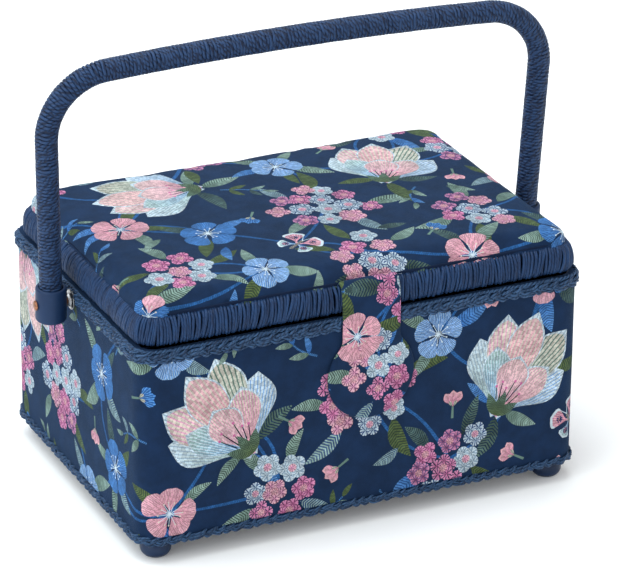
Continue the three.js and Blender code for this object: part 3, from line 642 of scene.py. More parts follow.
weave = (warp * threads).math("SINE") * (weft * threads).math("SINE")
slub = cotton.noise(place, 90.0, 4.0, 0.65)
shade = (cotton.ramp(slub, 0.80, 1.16, 0.3, 0.7) + weave * 0.07) * stitch_tone
cotton.feed(Base_Color=cotton.mix(1.0, inked, cotton.join(shade, shade, shade), "MULTIPLY"),
            Normal=cotton.bump(weave * 0.5 + (slub - 0.5) * 1.4 + line * 0.35, 0.00012, 0.8))


class Loop:
    """A rounded rectangle in millimetres seen from above, run counter-clockwise from its back's middle."""

    def __init__(self, half_x, half_y, corner, shift_y=object_shift_y):
        across, deep, quarter = half_x - corner, half_y - corner, math.pi / 2 * corner
        legs = [across, quarter, 2 * deep, quarter, 2 * across, quarter, 2 * deep, quarter, across]
        self.starts = np.concatenate([[0], np.cumsum(legs)])
        self.length = self.starts[-1]
        self.half_x, self.half_y, self.corner, self.shift_y = half_x, half_y, corner, shift_y
        self.bent = np.array([0, 1, 0, 1, 0, 1, 0, 1, 0])
        self.facings = math.pi / 2 * np.array([1, 1, 2, 2, 3, 3, 4, 4, 5])
        self.anchors = np.array([(0, deep), (-across, deep), (-across, deep), (-across, -deep),
                                 (-across, -deep), (across, -deep), (across, -deep), (across, deep),
                                 (across, deep)], float)

    def at(self, u, out=0.0):
        """Places and outward directions at distances along the run, moved outwards by out."""
        u = np.asarray(u, float) % self.length
        leg = np.clip(np.searchsorted(self.starts, u, "right") - 1, 0, 8)
        along_leg = u - self.starts[leg]
        facing = self.facings[leg] + self.bent[leg] * along_leg / self.corner
        across, ahead = np.cos(facing), np.sin(facing)
        straight = (1 - self.bent[leg]) * along_leg
        x = self.anchors[leg, 0] + (self.corner + out) * across - straight * ahead
        y = self.anchors[leg, 1] + (self.corner + out) * ahead + straight * across + self.shift_y
        return x, y, across, ahead

    def stations(self, straight_step, bend_step):
        """Distances along the run, closer together round the corners."""
        marks = []
        for leg in range(9):
            length = self.starts[leg + 1] - self.starts[leg]
            count = max(1, math.ceil(length / (bend_step if self.bent[leg] else straight_step)))
            marks += [self.starts[leg] + length * i / count for i in range(count)]
        return np.array(marks)


walls_loop = Loop(box_length / 2 + cover_proud, box_depth / 2 + cover_proud, box_corner + cover_proud)
cover_run = walls_loop.length
cover_height = cover_top - cover_bottom
front_start = cover_run / 2 - (box_length / 2 - box_corner)
wall_print = Pattern(41)
compose(wall_print, (0, -4), (cover_run, cover_height + 4), [
    ("magnolia", front_start + 34, 66, 30, 2.2), ("magnolia", front_start + 208, 62, 29, 1.1),
    ("bunch", front_start + 118, 66, 33, 0.5), ("cluster", front_start + 66, 18, 22, 0.9),
    ("cluster", front_start + 168, 16, 21, 2.3), ("blossom", front_start + 160, 92, 17, 0.2),
    ("butterfly", front_start + 244, 24, 12, 2.1), ("bunch", front_start - 122, 50, 33, 0.3),
    ("blossom", front_start - 62, 78, 18, 0.8), ("blossom", front_start - 44, 30, 18, 1.8),
    ("magnolia", front_start - 168, 88, 28, 5.0), ("magnolia", front_start + 335, 60, 30, 0.9),
    ("bunch", front_start + 275, 62, 32, 1.0), ("magnolia", 60, 60, 31, 2.0),
    ("bunch", cover_run - 50, 52, 32, 0.4)], cover_run)

# What the join at the back cuts off goes on at the strip's other end. Under the braids the cloth is plain.
wrapped = []
for shape in wall_print.shapes:
    wrapped.append(shape)
    points, (foot_x, *foot), *look = shape
    xs = [x for x, _ in points]
    for crosses, shift in ((min(xs) < 0, cover_run), (max(xs) > cover_run, -cover_run)):
        if crosses:
            wrapped.append(([(x + shift, y) for x, y in points], (foot_x + shift, *foot), *look))
wall_print.shapes = wrapped
for low_edge, high_edge in ((0.02, 3.6), (105.2, cover_height - 0.02)):
    wall_print.lay([(0.02, low_edge), (cover_run - 0.02, low_edge), (cover_run - 0.02, high_edge),
                    (0.02, high_edge)], (0, 0), 0, "ground")

folds, loose = [], []
for leg, (run, stop) in enumerate(zip(walls_loop.starts, walls_loop.starts[1:])):
    if walls_loop.bent[leg]:
        columns = np.linspace(run, stop, corner_columns + 1)
        folds += [((u, 0), (u, cover_height)) for u in columns]
        loose += [(u, 4 + 7 * j) for u in columns for j in range(16)]
    else:
        loose += [(run + 12 * i, 6 + 10 * j) for i in range(1, int((stop - run) / 12)) for j in range(11)]
wall_cut = cut_cloth([(0, 0), (cover_run, 0), (cover_run, cover_height), (0, cover_height)], wall_print,
                     folds, loose)
flat = wall_cut[0]
easing = random.Random(7)
waves = [(easing.uniform(0.02, 0.11), easing.uniform(0.03, 0.09), easing.uniform(0, 6.3)) for _ in range(6)]
ease = sum(np.sin(a * flat[:, 0] + b * flat[:, 1] + c) for a, b, c in waves) * 0.035
x, y, _, _ = walls_loop.at(flat[:, 0], ease * np.sin(np.pi * flat[:, 1] / cover_height))
walls = np.stack([x, y, cover_bottom + flat[:, 1]], 1)
from_catch = np.hypot(walls[:, 0] - tab_x, walls[:, 2] - catch_z)
walls[:, 1] += np.where(walls[:, 1] < -88, 1.25 * np.clip((13.0 - from_catch) / 5.2, 0, 1) ** 1.5, 0)
turned_in = []
hem_marks = walls_loop.stations(10, 2.0)
for out, level in ((0.0, 123.5), (-0.25, 123.62), (-1.6, 123.68), (-3.6, 123.66)):
    x, y, _, _ = walls_loop.at(hem_marks, out)
    turned_in.append(np.column_stack([x, y, np.full(len(x), level)]))
hem = len(walls) + np.arange(4 * len(hem_marks)).reshape(4, -1)
hem_faces = np.stack([np.roll(hem[:-1], -1, 1), hem[:-1], hem[1:], np.roll(hem[1:], -1, 1)], -1).reshape(-1, 4)
cover = cloth_piece("cover_cloth", walls, wall_cut, cotton, "box", "outer_cover",
                    behind=(np.concatenate(turned_in), hem_faces.tolist()))
with editing(cover):
    bpy.ops.mesh.remove_doubles(threshold=0.00001)
cover.select_set(False)
all_walls = ["front_wall_board", "back_wall_board", "left_wall_board", "right_wall_board"]

# Braids: a flat plait of navy cord glued along the top and the foot of the walls, over the cover's edges.
# The rim and the handle are wound with a like cord of two twisted plies, here a tube with slanting plies.


class Track:
    """A smooth line through points in millimetres, measured along its length."""

    def __init__(self, points, bends=10):
        points = np.asarray(points, float)
        if bends > 1:
            padded = np.concatenate([[2 * points[0] - points[1]], points, [2 * points[-1] - points[-2]]])
            share = (np.arange(bends) / bends)[None, :, None]
            a, b, c, d = (padded[i:len(padded) - 3 + i, None, :] for i in range(4))
            curve = 0.5 * (2 * b + (c - a) * share + (2 * a - 5 * b + 4 * c - d) * share ** 2
                           + (3 * b - a - 3 * c + d) * share ** 3)
            points = np.concatenate([curve.reshape(-1, points.shape[1]), points[-1:]])
        self.points = points
        self.run = np.concatenate([[0], np.cumsum(np.linalg.norm(np.diff(points, axis=0), axis=1))])
        self.length = self.run[-1]
        self.headings = unit(np.gradient(points, self.run, axis=0))

    def at(self, s):
        return np.stack([np.interp(s, self.run, column) for column in self.points.T], -1)

    def heading(self, s):
        return unit(np.stack([np.interp(s, self.run, column) for column in self.headings.T], -1))


def unit(vectors):
    return vectors / np.maximum(np.linalg.norm(vectors, axis=-1, keepdims=True), 1e-9)


def ropes(name, centres, side, wide, thin, finish, body, node=None, sides=7, closed=False):
    """Tubes along rows of centres (strand, row, xyz). side points across each tube where it lies."""
    strands, rows, _ = centres.shape
    if closed:
        heading = unit(np.roll(centres, -1, 1) - np.roll(centres, 1, 1))
    else:
        heading = unit(np.gradient(centres, axis=1))
    side = unit(side - (side * heading).sum(-1, keepdims=True) * heading)
    proud = np.cross(heading, side)
    angles = 2 * np.pi * np.arange(sides) / sides
    wide, thin = (np.broadcast_to(half, (strands, rows))[..., None, None] for half in (wide, thin))
    rings = centres[:, :, None] + wide * side[:, :, None] * np.cos(angles)[:, None] \
        + thin * proud[:, :, None] * np.sin(angles)[:, None]
    index = np.arange(strands * rows * sides).reshape(strands, rows, sides)
    here, ahead = (index, np.roll(index, -1, 1)) if closed else (index[:, :-1], index[:, 1:])
    faces = np.stack([here, np.roll(here, -1, 2), np.roll(ahead, -1, 2), ahead], -1).reshape(-1, 4).tolist()
    if not closed:
        faces += index[:, 0, ::-1].tolist() + index[:, -1].tolist()
    piece = new_piece(name, rings.reshape(-1, 3), faces, finish, body, node)
    step = np.linalg.norm(np.diff(centres, axis=1), axis=-1)
    run = np.concatenate([np.zeros((strands, 1)), np.cumsum(step, 1)], 1)
    if closed:
        run = np.concatenate([run, run[:, -1:] + step[:, :1]], 1)
    seeds = np.random.default_rng(strands + rows).uniform(0, 900, strands)
    u = np.broadcast_to(np.arange(sides + 1) / sides, (strands, run.shape[1], sides + 1))
    v = np.broadcast_to((run + seeds[:, None])[..., None], u.shape)
    corners = np.stack([u, v], -1)
    cells = np.stack([corners[:, :-1, :-1], corners[:, :-1, 1:], corners[:, 1:, 1:], corners[:, 1:, :-1]], 3)
    values = np.zeros((len(piece.data.loops), 2))
    values[:cells.size // 2] = cells.reshape(-1, 2)
    lay_uv(piece, "cord", values)


def wound_cord(name, dark, pale, ply, twisted):
    """Two-ply cord with a slight gloss: slanting plies, loose fibres, and a tone that changes on its way.
    The top of each ply is painted lighter and the groove between plies darker: painted highlight and painted
    shade.
    """
    cord = Finish(name, Roughness=0.50, Specular_IOR_Level=0.24, Sheen_Weight=0.02, Sheen_Roughness=0.5)
    place = cord.place()
    around, length, _ = cord.split(cord.uv("cord"))
    fibre = cord.noise(place, 900.0, 3.0, 0.6)
    length_tone = cord.node("ShaderNodeTexNoise", {"noise_dimensions": "1D"}, W=length * 0.055, Scale=1.0,
                            Detail=3.0)
    groove = (around * 2.0 + length / ply + fibre * 0.5 + length_tone * 5.0).math("PINGPONG", 0.5) * 2.0
    # Painted highlight and shade: the ply relief that feeds the bump also lightens the top of each ply and
    # darkens the groove between plies in the base colour, weighted by twisted.
    crest_relief_and_painted_light = cord.ramp(groove, 0.0, 1.0, 0.0, 0.75) * twisted
    blotch = cord.noise(place, 55.0, 3.0, 0.6)
    tone = cord.ramp(crest_relief_and_painted_light + fibre * 0.4 + blotch * 0.35 + length_tone * 0.75, 0.0, 1.0,
                     0.38 + twisted * 0.5, 1.12 + twisted * 0.5)
    cord.feed(Base_Color=cord.mix(tone, dark, pale), Normal=cord.bump(crest_relief_and_painted_light * 2.2 + fibre * 0.8, 0.00026, 0.9))
    return cord


def pressed(x, y):
    """1 where a trim stands free, less where the closure tab presses on it."""
    aside = np.clip((abs(x - tab_x) - 17.0) / 2.5, 0, 1)
    return np.where((y < 0) & (abs(x - tab_x) < 20), 0.30 + 0.70 * aside * aside * (3 - 2 * aside), 1.0)


def plait(name, bottom, height, bumps, thickness, node, rows, seed):
    """A flat plait of three strands round the box, each strand two cords side by side."""
    loop = Loop(box_length / 2 + 1.3, box_depth / 2 + 1.3, box_corner + 1.3)
    count = round(loop.length / bumps) * 3 * rows
    step = np.arange(count)
    u = step / count * loop.length
    phase = 2 * np.pi * step / (3 * rows) + sum(
        0.22 * np.sin(2 * np.pi * k * step / count + k) for k in (7, 23, 41, 67, 89))
    cord_radius = height / 8.8
    swing = height / 2 - 2 * cord_radius * 0.98
    chance = np.random.default_rng(seed)
    centres = []
    for strand in range(3):
        angle = phase + 2 * np.pi * strand / 3
        up = swing * np.sin(angle)
        out = 0.62 * (thickness - 2 * cord_radius) * np.sin(2 * angle)
        tilt = np.arctan(np.gradient(up, u))
        for aside in (-0.5, 0.5):
            offset = aside * cord_radius * 1.9
            waver = sum(
                chance.uniform(0.03, 0.07) * height / 9
                * np.sin(2 * np.pi * chance.integers(20, 200) * u / loop.length + chance.uniform(0, 6.3))
                for _ in range(5))
            x, y, across, ahead = loop.at(u - offset * np.sin(tilt))
            level = bottom + height / 2 + up + offset * np.cos(tilt) + waver
            reach = (thickness / 2 + out + waver * 0.5) * (pressed(x, y) if node == "top_braid" else 1.0)
            centres.append(np.stack([x + reach * across, y + reach * ahead, level], -1))
    ropes(name, np.array(centres), upright, cord_radius * 1.06, cord_radius, braid_cord, "box", node, 6, True)


upright = np.array([0, 0, 1.0])
braid_cord = wound_cord("braid_cord", (0.0032, 0.0135, 0.0420), (0.0320, 0.0830, 0.1800), 3.0, 0.35)
plait("braid_top", 116.4, 6.8, 21.0, 3.2, "top_braid", 12, 3)
plait("braid_bottom", 10.5, 5.2, 19.0, 2.8, "bottom_braid", 11, 4)

# Edge cord: two thinner cords twisted together, glued along the top of the upper braid. Under the tab it is
# pressed flat, and at the back it lies lower, clear of the rim when the lid turns.

edge_loop = Loop(130.0, 94.0, 12.5)
lay_turns = round(edge_loop.length / 5.2)
edge_at = np.arange(lay_turns * 9) / (lay_turns * 9) * edge_loop.length
x, y, across, ahead = edge_loop.at(edge_at, 0.15 * np.sin(edge_at * 0.31) + 0.12 * np.sin(edge_at * 0.83 + 1.0))
lid_path = 0.75 * np.clip((y - 82) / 8, 0, 1)
middle = np.stack([x, y, 123.5 - lid_path + 0.12 * np.sin(edge_at * 0.47 + 2.0)], -1)
outward = np.stack([across, ahead, 0 * across], -1)
plies = []
for start in (0, math.pi):
    angle = 2 * np.pi * lay_turns * edge_at / edge_loop.length + start
    twist = np.cos(angle)[:, None] * outward + np.sin(angle)[:, None] * upright
    plies.append(middle - 0.9 * (1 - pressed(x, y))[:, None] * outward + 0.50 * twist)
ropes("edge_cord", np.array(plies), upright, 0.56, 0.56, braid_cord, "box", closed=True)

# Lid rim: one cord wound tightly over the edge of the lid's frame, turn by turn, its ends glued down inside.
# The turns lean a little now one way, now the other, and no two are quite as wide.

rim_cord = wound_cord("rim_cord", (0.0018, 0.0105, 0.0390), (0.0115, 0.0450, 0.1300), 4.0, 0.14)
rim_loop = Loop(129.4, 90.6, 14, -0.7)
rim_turns = round(rim_loop.length / 1.62)
chance = np.random.default_rng(12)
widths = chance.uniform(0.86, 1.14, rim_turns)
rim_marks = (np.cumsum(widths) - widths / 2) / widths.sum() * rim_loop.length
half_widths = widths / widths.sum() * rim_loop.length / 2
lean = sum(a * np.sin(2 * np.pi * k * rim_marks / rim_loop.length + b)
           for a, k, b in ((0.6, 5, 0.3), (0.8, 9, 2.0), (0.7, 17, 4.4), (0.7, 31, 1.1), (0.6, 53, 2.6))
           ) + chance.normal(2.0, 0.6, rim_turns)
rim_profile = Track([(3.2, 126.85), (1.8, 126.8), (1.05, 127.9), (0.95, 130.0), (1.15, 132.8), (1.8, 135.6),
                     (2.8, 137.8), (4.2, 139.2), (5.8, 139.7)])
inset, height = rim_profile.at(np.linspace(0, rim_profile.length, 11)).T
share_up = (height - 126.8) / 12.9


def each_turn(spread):
    return chance.normal(0, spread, (rim_turns, 1))


bow = each_turn(0.34) * np.sin(np.pi * share_up)[None]
places = rim_marks[:, None] + lean[:, None] * (share_up - 0.5)[None] + bow
tucked = 0.4 * np.clip((rim_loop.at(places)[1] - 80) / 6, 0, 1)
x, y, across, ahead = rim_loop.at(places, -inset[None] - tucked + each_turn(0.20))
rim_centres = np.stack([x, y, np.broadcast_to(height + each_turn(0.16), x.shape)], -1)
rim_sides = np.stack([-ahead, across, 0 * across], -1)
ropes("rim_turns", rim_centres, rim_sides, half_widths[:, None] * 1.06, 1.10, rim_cord, "lid",
      "lid_rim_winding")

# Handle: one cord wound round a bent core of split cane, in about 270 turns that cover it from cup to cup.
# Its legs spread a little towards the bends, its top bows up, and it stands leaning forward by a few degrees.

handle_cord = wound_cord("handle_cord", (0.0018, 0.0085, 0.032), (0.0165, 0.0460, 0.122), 3.8, 0.60)
pivot_z = 117.5
handle_lean = math.radians(3.4)
handle_half, handle_bend, handle_bow, handle_rise, handle_foot, pivot_half = 145.8, 35.0, 3.0, 131.4, 4.3, 143.0


def arch_points():
    """The handle's middle line in its own x-z plane, from the left pivot over to the right."""
    straight = handle_half - handle_bend
    bow_radius = straight ** 2 / (2 * handle_bow)
    slope = math.asin(straight / (1 - handle_bend / bow_radius) / bow_radius)
    bend_z = handle_rise - handle_bend
    bow_z = bend_z + (handle_bend - bow_radius) * math.cos(slope)
    leg = [(-pivot_half + (pivot_half - handle_half) * t, handle_foot + (bend_z - handle_foot) * t)
           for t in np.linspace(0, 1, 90, endpoint=False)]
    bend = [toward((-straight, bend_z), a, handle_bend)
            for a in np.linspace(math.pi, math.pi / 2 + slope, 50, endpoint=False)]
    top = [toward((0, bow_z), a, bow_radius) for a in np.linspace(math.pi / 2 + slope, math.pi / 2, 110)]
    half = leg + bend + top
    return half + [(-x, z) for x, z in reversed(half[:-1])]


def leaned(vectors):
    """Turns vectors from the handle's own plane to how it stands in the photograph."""
    x, y, z = np.moveaxis(np.asarray(vectors, float), -1, 0)
    cos, sin = math.cos(handle_lean), math.sin(handle_lean)
    return np.stack([x, y * cos - z * sin, y * sin + z * cos], -1)


def on_handle(points):
    return leaned(points) + [0, object_shift_y, pivot_z]


arch = Track(arch_points(), 1)
winding_pitch = 1.90
winding_turns = round((arch.length - 1.0) / winding_pitch)
turn_steps = 17
steps = np.arange(winding_turns * turn_steps + 1) / turn_steps
chance = np.random.default_rng(5)
crossing = sum(a * np.sin(b * steps + c) * np.sin(2 * np.pi * steps + d) for a, b, c, d in [
    (chance.uniform(0.14, 0.30), chance.uniform(0.03, 0.9), chance.uniform(0, 6.3), chance.uniform(0, 6.3))
    for _ in range(7)])
uneven = sum(chance.uniform(0.03, 0.08) * np.sin(chance.uniform(0.4, 2.4) * steps + chance.uniform(0, 6.3))
             for _ in range(6))
along_arch = 0.5 + winding_pitch * (steps + crossing * 0.55)
middle, heading = arch.at(along_arch), arch.heading(along_arch)
angle = 2 * np.pi * steps
radius = 5.40 + uneven * 0.45
normal = np.stack([-heading[:, 1], 0 * angle, heading[:, 0]], 1)
centres = np.stack([middle[:, 0], 0 * angle, middle[:, 1]], 1) + radius[:, None] * (
    np.cos(angle)[:, None] * normal + np.sin(angle)[:, None] * np.array([0, 1, 0]))
sides = np.stack([heading[:, 0], 0 * angle, heading[:, 1]], 1)
ropes("handle_winding", on_handle(centres)[None], leaned(sides)[None], 1.20 + uneven[None] * 0.4, 0.98,
      handle_cord, "handle", "handle_wrap", 6)

# Lid top: printed cotton drawn over wadding, its edge glued down inside the rim cord. It rises steeply out of
# the cord, with small gathers there, and then runs in a slow crown to the middle.

lid_loop = Loop(124.9, 86.4, 11.0, -0.5)
lid_edge_z = 139.5
lid_shoulder, lid_crown = 8.4, 3.6
wadding_rise = 1.4
angles = np.linspace(0, np.pi / 2, 60)
shoulder_in = lid_loop.corner * (1 - np.cos(angles)) ** 1.7
shoulder_up = lid_shoulder * np.sin(angles)
shoulder_run = np.concatenate([[0], np.cumsum(np.hypot(np.diff(shoulder_in), np.diff(shoulder_up)))])
lid_ease = shoulder_run[-1] - lid_loop.corner
flat_lid = Loop(lid_loop.half_x + lid_ease, lid_loop.half_y + lid_ease, lid_loop.corner + lid_ease, 0.0)


def ripple(points, size, seed):
    """Smooth noise between about -1 and 1 at each flat point, with features of about the given size."""
    shift = Vector((seed * 17.3, seed * 5.1, 0))
    return np.array([noise.noise(Vector((x, y, 0)) / size + shift) for x, y in points])


def inset_of(points, loop):
    """How far inside a rounded rectangle each point lies."""
    beyond = abs(points - [0, loop.shift_y]) - [loop.half_x - loop.corner, loop.half_y - loop.corner]
    return loop.corner - np.linalg.norm(np.maximum(beyond, 0), axis=1) - np.minimum(beyond.max(1), 0)


def plain_outline(loop, straight=7.0, bend=2.0):
    x, y, _, _ = loop.at(loop.stations(straight, bend))
    return list(zip(x, y))


def joined(outline):
    """The edges of a closed outline."""
    return list(zip(outline, outline[1:] + outline[:1]))


def narrower(loop, step_in, least_corner=0.0):
    return Loop(loop.half_x - step_in, loop.half_y - step_in, max(least_corner, loop.corner - step_in),
                loop.shift_y)


def plain_cut(loop, spacing, steps_in=(0.6, 1.4, 2.6, 4.2, 6.5)):
    """Flat plain cloth of a rounded rectangle, cut finer along its edge."""
    rings = [edge for step_in in steps_in
             for edge in joined(plain_outline(narrower(loop, step_in, 0.8), spacing, 2.5))]
    half_x, half_y = loop.half_x - steps_in[-1], loop.half_y - steps_in[-1]
    across = np.arange(-half_x + spacing / 2, half_x, spacing)
    ahead = np.arange(-half_y + spacing / 2, half_y, spacing) + loop.shift_y
    loose = [(x + (j % 2) * spacing / 3, y) for j, y in enumerate(ahead) for x in across]
    return cut_cloth(plain_outline(loop), Pattern(0), rings, loose)


def swollen(points, triangles, held, cap, slack, pressure=4.0, frames=20):
    """Cloth simulation of a cover that wadding pushes out: how far each point moves, in millimetres, at most
    the cap. held points are sewn or glued down, and slack is the share by which the cloth is cut larger than
    its place."""
    middle = points.mean(0)
    mesh = bpy.data.meshes.new("wadding")
    mesh.from_pydata(((points - middle) * mm).tolist(), [], triangles.tolist())
    wadding = bpy.data.objects.new("wadding", mesh)
    bpy.context.scene.collection.objects.link(wadding)
    wadding.vertex_groups.new(name="held").add(np.nonzero(held)[0].tolist(), 1.0, "REPLACE")
    cloth = wadding.modifiers.new("cloth", "CLOTH")
    cloth.settings.quality = 6
    cloth.settings.mass = 0.3
    cloth.settings.bending_stiffness = 0.4
    cloth.settings.vertex_group_mass = "held"
    cloth.settings.use_pressure = True
    cloth.settings.uniform_pressure_force = pressure
    cloth.settings.shrink_min = -slack
    cloth.settings.effector_weights.gravity = 0
    cloth.collision_settings.use_collision = False
    cloth.point_cache.frame_end = frames
    for step in range(1, frames + 1):
        bpy.context.scene.frame_set(step)
    shaped = wadding.evaluated_get(bpy.context.evaluated_depsgraph_get())
    settled = np.array([point.co for point in shaped.data.vertices]) / mm + middle
    bpy.data.objects.remove(wadding)
    bpy.context.scene.frame_set(1)
    move = settled - points
    far = np.linalg.norm(move, axis=1, keepdims=True)
    return move * np.minimum(1, cap / np.maximum(far, 1e-9))


def carried(places, flat, triangles, moves):
    """Moves of a coarse cut of cloth, read at other places on the flat cloth."""
    tree = BVHTree.FromPolygons([(x, y, 0) for x, y in flat], triangles.tolist())
    found = np.empty((len(places), 3))
    for i, (x, y) in enumerate(places):
        spot, _, face, _ = tree.find_nearest((x, y, 0))
        a, b, c = flat[triangles[face]]
        ab, ac, ap = b - a, c - a, np.array([spot.x, spot.y]) - a
        whole = ab[0] * ac[1] - ab[1] * ac[0]
        second = (ap[0] * ac[1] - ap[1] * ac[0]) / whole
        third = (ab[0] * ap[1] - ab[1] * ap[0]) / whole
        found[i] = np.array([1 - second - third, second, third]) @ moves[triangles[face]]
    return found


def lid_surface(flat):
    """Where the flat cloth of the lid lies on the wadding."""
    corner = np.array([lid_loop.half_x, lid_loop.half_y]) - lid_loop.corner
    core = np.clip(flat, -corner, corner)
    reach = flat - core
    far = np.linalg.norm(reach, axis=1)
    outward = reach / np.maximum(far, 1e-6)[:, None]
    travel = np.clip(shoulder_run[-1] - far, 0, shoulder_run[-1])
    inset, up = np.interp(travel, shoulder_run, shoulder_in), np.interp(travel, shoulder_run, shoulder_up)
    place = core + outward * (lid_loop.corner - inset)[:, None]
    crown = (1 - np.abs(place[:, 0] / lid_loop.half_x) ** 3) * (1 - np.abs(place[:, 1] / lid_loop.half_y) ** 3)
    edge = np.exp(-travel / 5.5)
    gathers = ripple(place, 7.0, 2) * 0.55 * edge * np.minimum(1, travel / 1.5)
    hollows = ripple(place, 46.0, 3) * 0.35 * (1 - edge)
    height = lid_edge_z + up + (lid_crown - wadding_rise) * crown + gathers + hollows
    place = place + outward * (gathers * 0.7)[:, None]
    return np.column_stack([place[:, 0], place[:, 1] + lid_loop.shift_y, height])


lid_print = Pattern(77)
compose(lid_print, (-flat_lid.half_x, -flat_lid.half_y), (flat_lid.half_x, flat_lid.half_y), [
    ("magnolia", -66, 46, 29, 3.0), ("bunch", 14, -8, 32, 1.2), ("blossom", -60, -18, 19, 0.1),
    ("butterfly", -22, -50, 12, 0.6), ("magnolia", 68, 34, 28, 1.2), ("cluster", 88, -46, 24, 0.5),
    ("blossom", -100, 8, 18, 1.1), ("blossom", 12, 54, 18, 2.2), ("cluster", -92, -56, 23, 0.2)])
folds = [edge for step_in in (1.0, 2.2, 3.6, 5.2, 7.0, 9.2, 11.8, 14.6)
         for edge in joined(plain_outline(narrower(flat_lid, step_in), 7, 1.6))]
loose = [(-100 + 9 * i + 4.5 * (j % 2), -66 + 8 * j) for i in range(23) for j in range(17)]
lid_cut = cut_cloth(plain_outline(flat_lid, 7, 1.6), lid_print, folds, loose)
coarse, coarse_triangles, _ = plain_cut(flat_lid, 5.0)
lid_moves = swollen(lid_surface(coarse), coarse_triangles, inset_of(coarse, flat_lid) < 0.5, 1.7, 0.006)
lid_places = lid_surface(lid_cut[0]) + carried(lid_cut[0], coarse, coarse_triangles, lid_moves)
lid_top = cloth_piece("lid_cloth", lid_places, lid_cut, cotton, "lid", "lid_cushion")

# Closure tab: a padded keyhole of the same cloth, front and back sewn together round the edge. Its neck is
# glued down over the rim under the edge of the lid top.

neck, lobe, lobe_drop, shoulder = 17.0, 25.5, 79.0, 8.0
tab_line = Track([
    (-88.0, 140.2), (-89.4, 141.9), (-91.2, 141.8), (-92.8, 140.1), (-93.8, 137.4), (-94.4, 134.4),
    (-94.8, 131.0), (-95.0, 127.6), (-95.2, 124.4), (-95.25, 120.0), (-95.2, 110.0), (-95.2, 100.0),
    (-95.2, 90.0), (-95.2, 80.0), (-95.2, 70.0), (-95.2, 60.0)], 6)
tab_run = tab_line.run[np.argmin(abs(tab_line.points[:, 1] - (141.6 - lobe_drop)))]
lobe_down = tab_run - lobe
reach_to = math.sqrt((lobe + shoulder) ** 2 - (neck + shoulder) ** 2)
tilt_out = math.atan2(reach_to, neck + shoulder)
fillet = [toward((-neck - shoulder, -lobe_down + reach_to), a, shoulder) for a in np.linspace(0, -tilt_out, 7)]
round_lobe = [toward((0, -lobe_down), a, lobe)
              for a in np.linspace(math.pi - tilt_out, 2 * math.pi + tilt_out, 46)][1:-1]
left_edge = [(-neck, -s) for s in np.arange(0, lobe_down - reach_to, 4.0)] + fillet
tab_outline = left_edge + round_lobe + [(-x, y) for x, y in reversed(left_edge)]
tab_edge = np.array(tab_outline)
tab_print = Pattern(23)
compose(tab_print, (-30, -tab_run), (30, 0), [("cluster", 6, -lobe_down - 1, 22, 0.4),
                                              ("blossom", -9, -34, 16, 0.5)])


def edge_distance(points, outline):
    """How far each point is from a closed outline."""
    first, second = outline, np.roll(outline, -1, 0)
    span = second - first
    share = ((points[:, None] - first) * span).sum(-1) / (span ** 2).sum(-1)
    nearest = first + np.clip(share, 0, 1)[..., None] * span
    return np.linalg.norm(points[:, None] - nearest, axis=-1).min(1)


def on_tab(flat, proud):
    """Where points of the flat tab lie, raised from its middle line."""
    place, heading = tab_line.at(-flat[:, 1]), tab_line.heading(-flat[:, 1])
    place = place + np.stack([heading[:, 1], -heading[:, 0]], 1) * proud[:, None]
    return np.column_stack([flat[:, 0] + tab_x, place[:, 0] + object_shift_y, place[:, 1]])


def puff(distance, full, edge_width):
    """A padded rise from an edge, full at edge_width from it."""
    return full * np.sqrt(np.clip(1 - (1 - np.minimum(distance / edge_width, 1)) ** 2, 0, 1))


def backed(triangles, on_edge, back_points):
    """The points and faces of a back that shares the front's edge, for a closed pad."""
    index = np.arange(len(on_edge))
    inner = np.nonzero(~on_edge)[0]
    index[inner] = len(on_edge) + np.arange(len(inner))
    return back_points[inner], index[triangles[:, ::-1]].tolist()


heading = unit(np.roll(tab_edge, -1, 0) - np.roll(tab_edge, 1, 0))
inward = np.stack([-heading[:, 1], heading[:, 0]], 1)
folds = [edge for step_in in (0.5, 1.2, 2.2, 3.6, 5.4)
         for edge in joined([tuple(point) for point in tab_edge + step_in * inward])]
loose = [(-28 + 4 * i, -tab_run + 3 * j) for i in range(15) for j in range(33)]
tab_cut = cut_cloth(tab_outline, tab_print, folds, loose)
flat, triangles, _ = tab_cut
distance = edge_distance(flat, tab_edge)
front = on_tab(flat, puff(distance, 1.55, 4.5) + 0.25 * ripple(flat, 15, 4) * puff(distance, 1.0, 6.0))
tab_back = backed(triangles, distance < 0.001, on_tab(flat, -puff(distance, 1.35, 2.5)))
tab_piece = cloth_piece("tab_cloth", front, tab_cut, cotton, None, "closure_tab", behind=tab_back)
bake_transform(tab_piece)

# Base cloth: plain navy cotton glued over the underside of the box, its edge tucked in under the bottom braid.
# It is one flat piece with rounded corners, a little loose between the feet.

base_weave = Finish("plain_cotton", Roughness=0.85, Specular_IOR_Level=0.12, Sheen_Weight=0.02,
                    Sheen_Roughness=0.5)
warp, weft, _ = base_weave.split(base_weave.uv("cloth"))
threads = math.tau / 0.55
weave = (warp * threads).math("SINE") * (weft * threads).math("SINE")
slub = base_weave.noise(base_weave.place(), 120.0, 4.0, 0.65)
tone = base_weave.ramp(slub * 0.8 + weave * 0.12 + 0.1, 0.0, 1.0, 0.25, 0.8)
base_weave.feed(Base_Color=base_weave.mix(tone, (0.0060, 0.0150, 0.0450), (0.0130, 0.0290, 0.0700)),
                Normal=base_weave.bump(weave * 0.5 + slub, 0.00012, 0.7))
base_loop = Loop(128.9, 92.9, 11.4)
base_cut = plain_cut(base_loop, 11.0)
flat = base_cut[0]
under = 11.0 + (0.22 * ripple(flat, 34.0, 8) - 0.15) * np.minimum(1, inset_of(flat, base_loop) / 9)
base = cloth_piece("base_cotton", np.column_stack([flat * [-1, 1], under]), base_cut, base_weave, "box",
                   "base_cloth")

# Wall lining: satin glued to the inside of the boards and turned out over their top edges to meet the cover,
# with small puckers where the cloth was pulled round the corners.

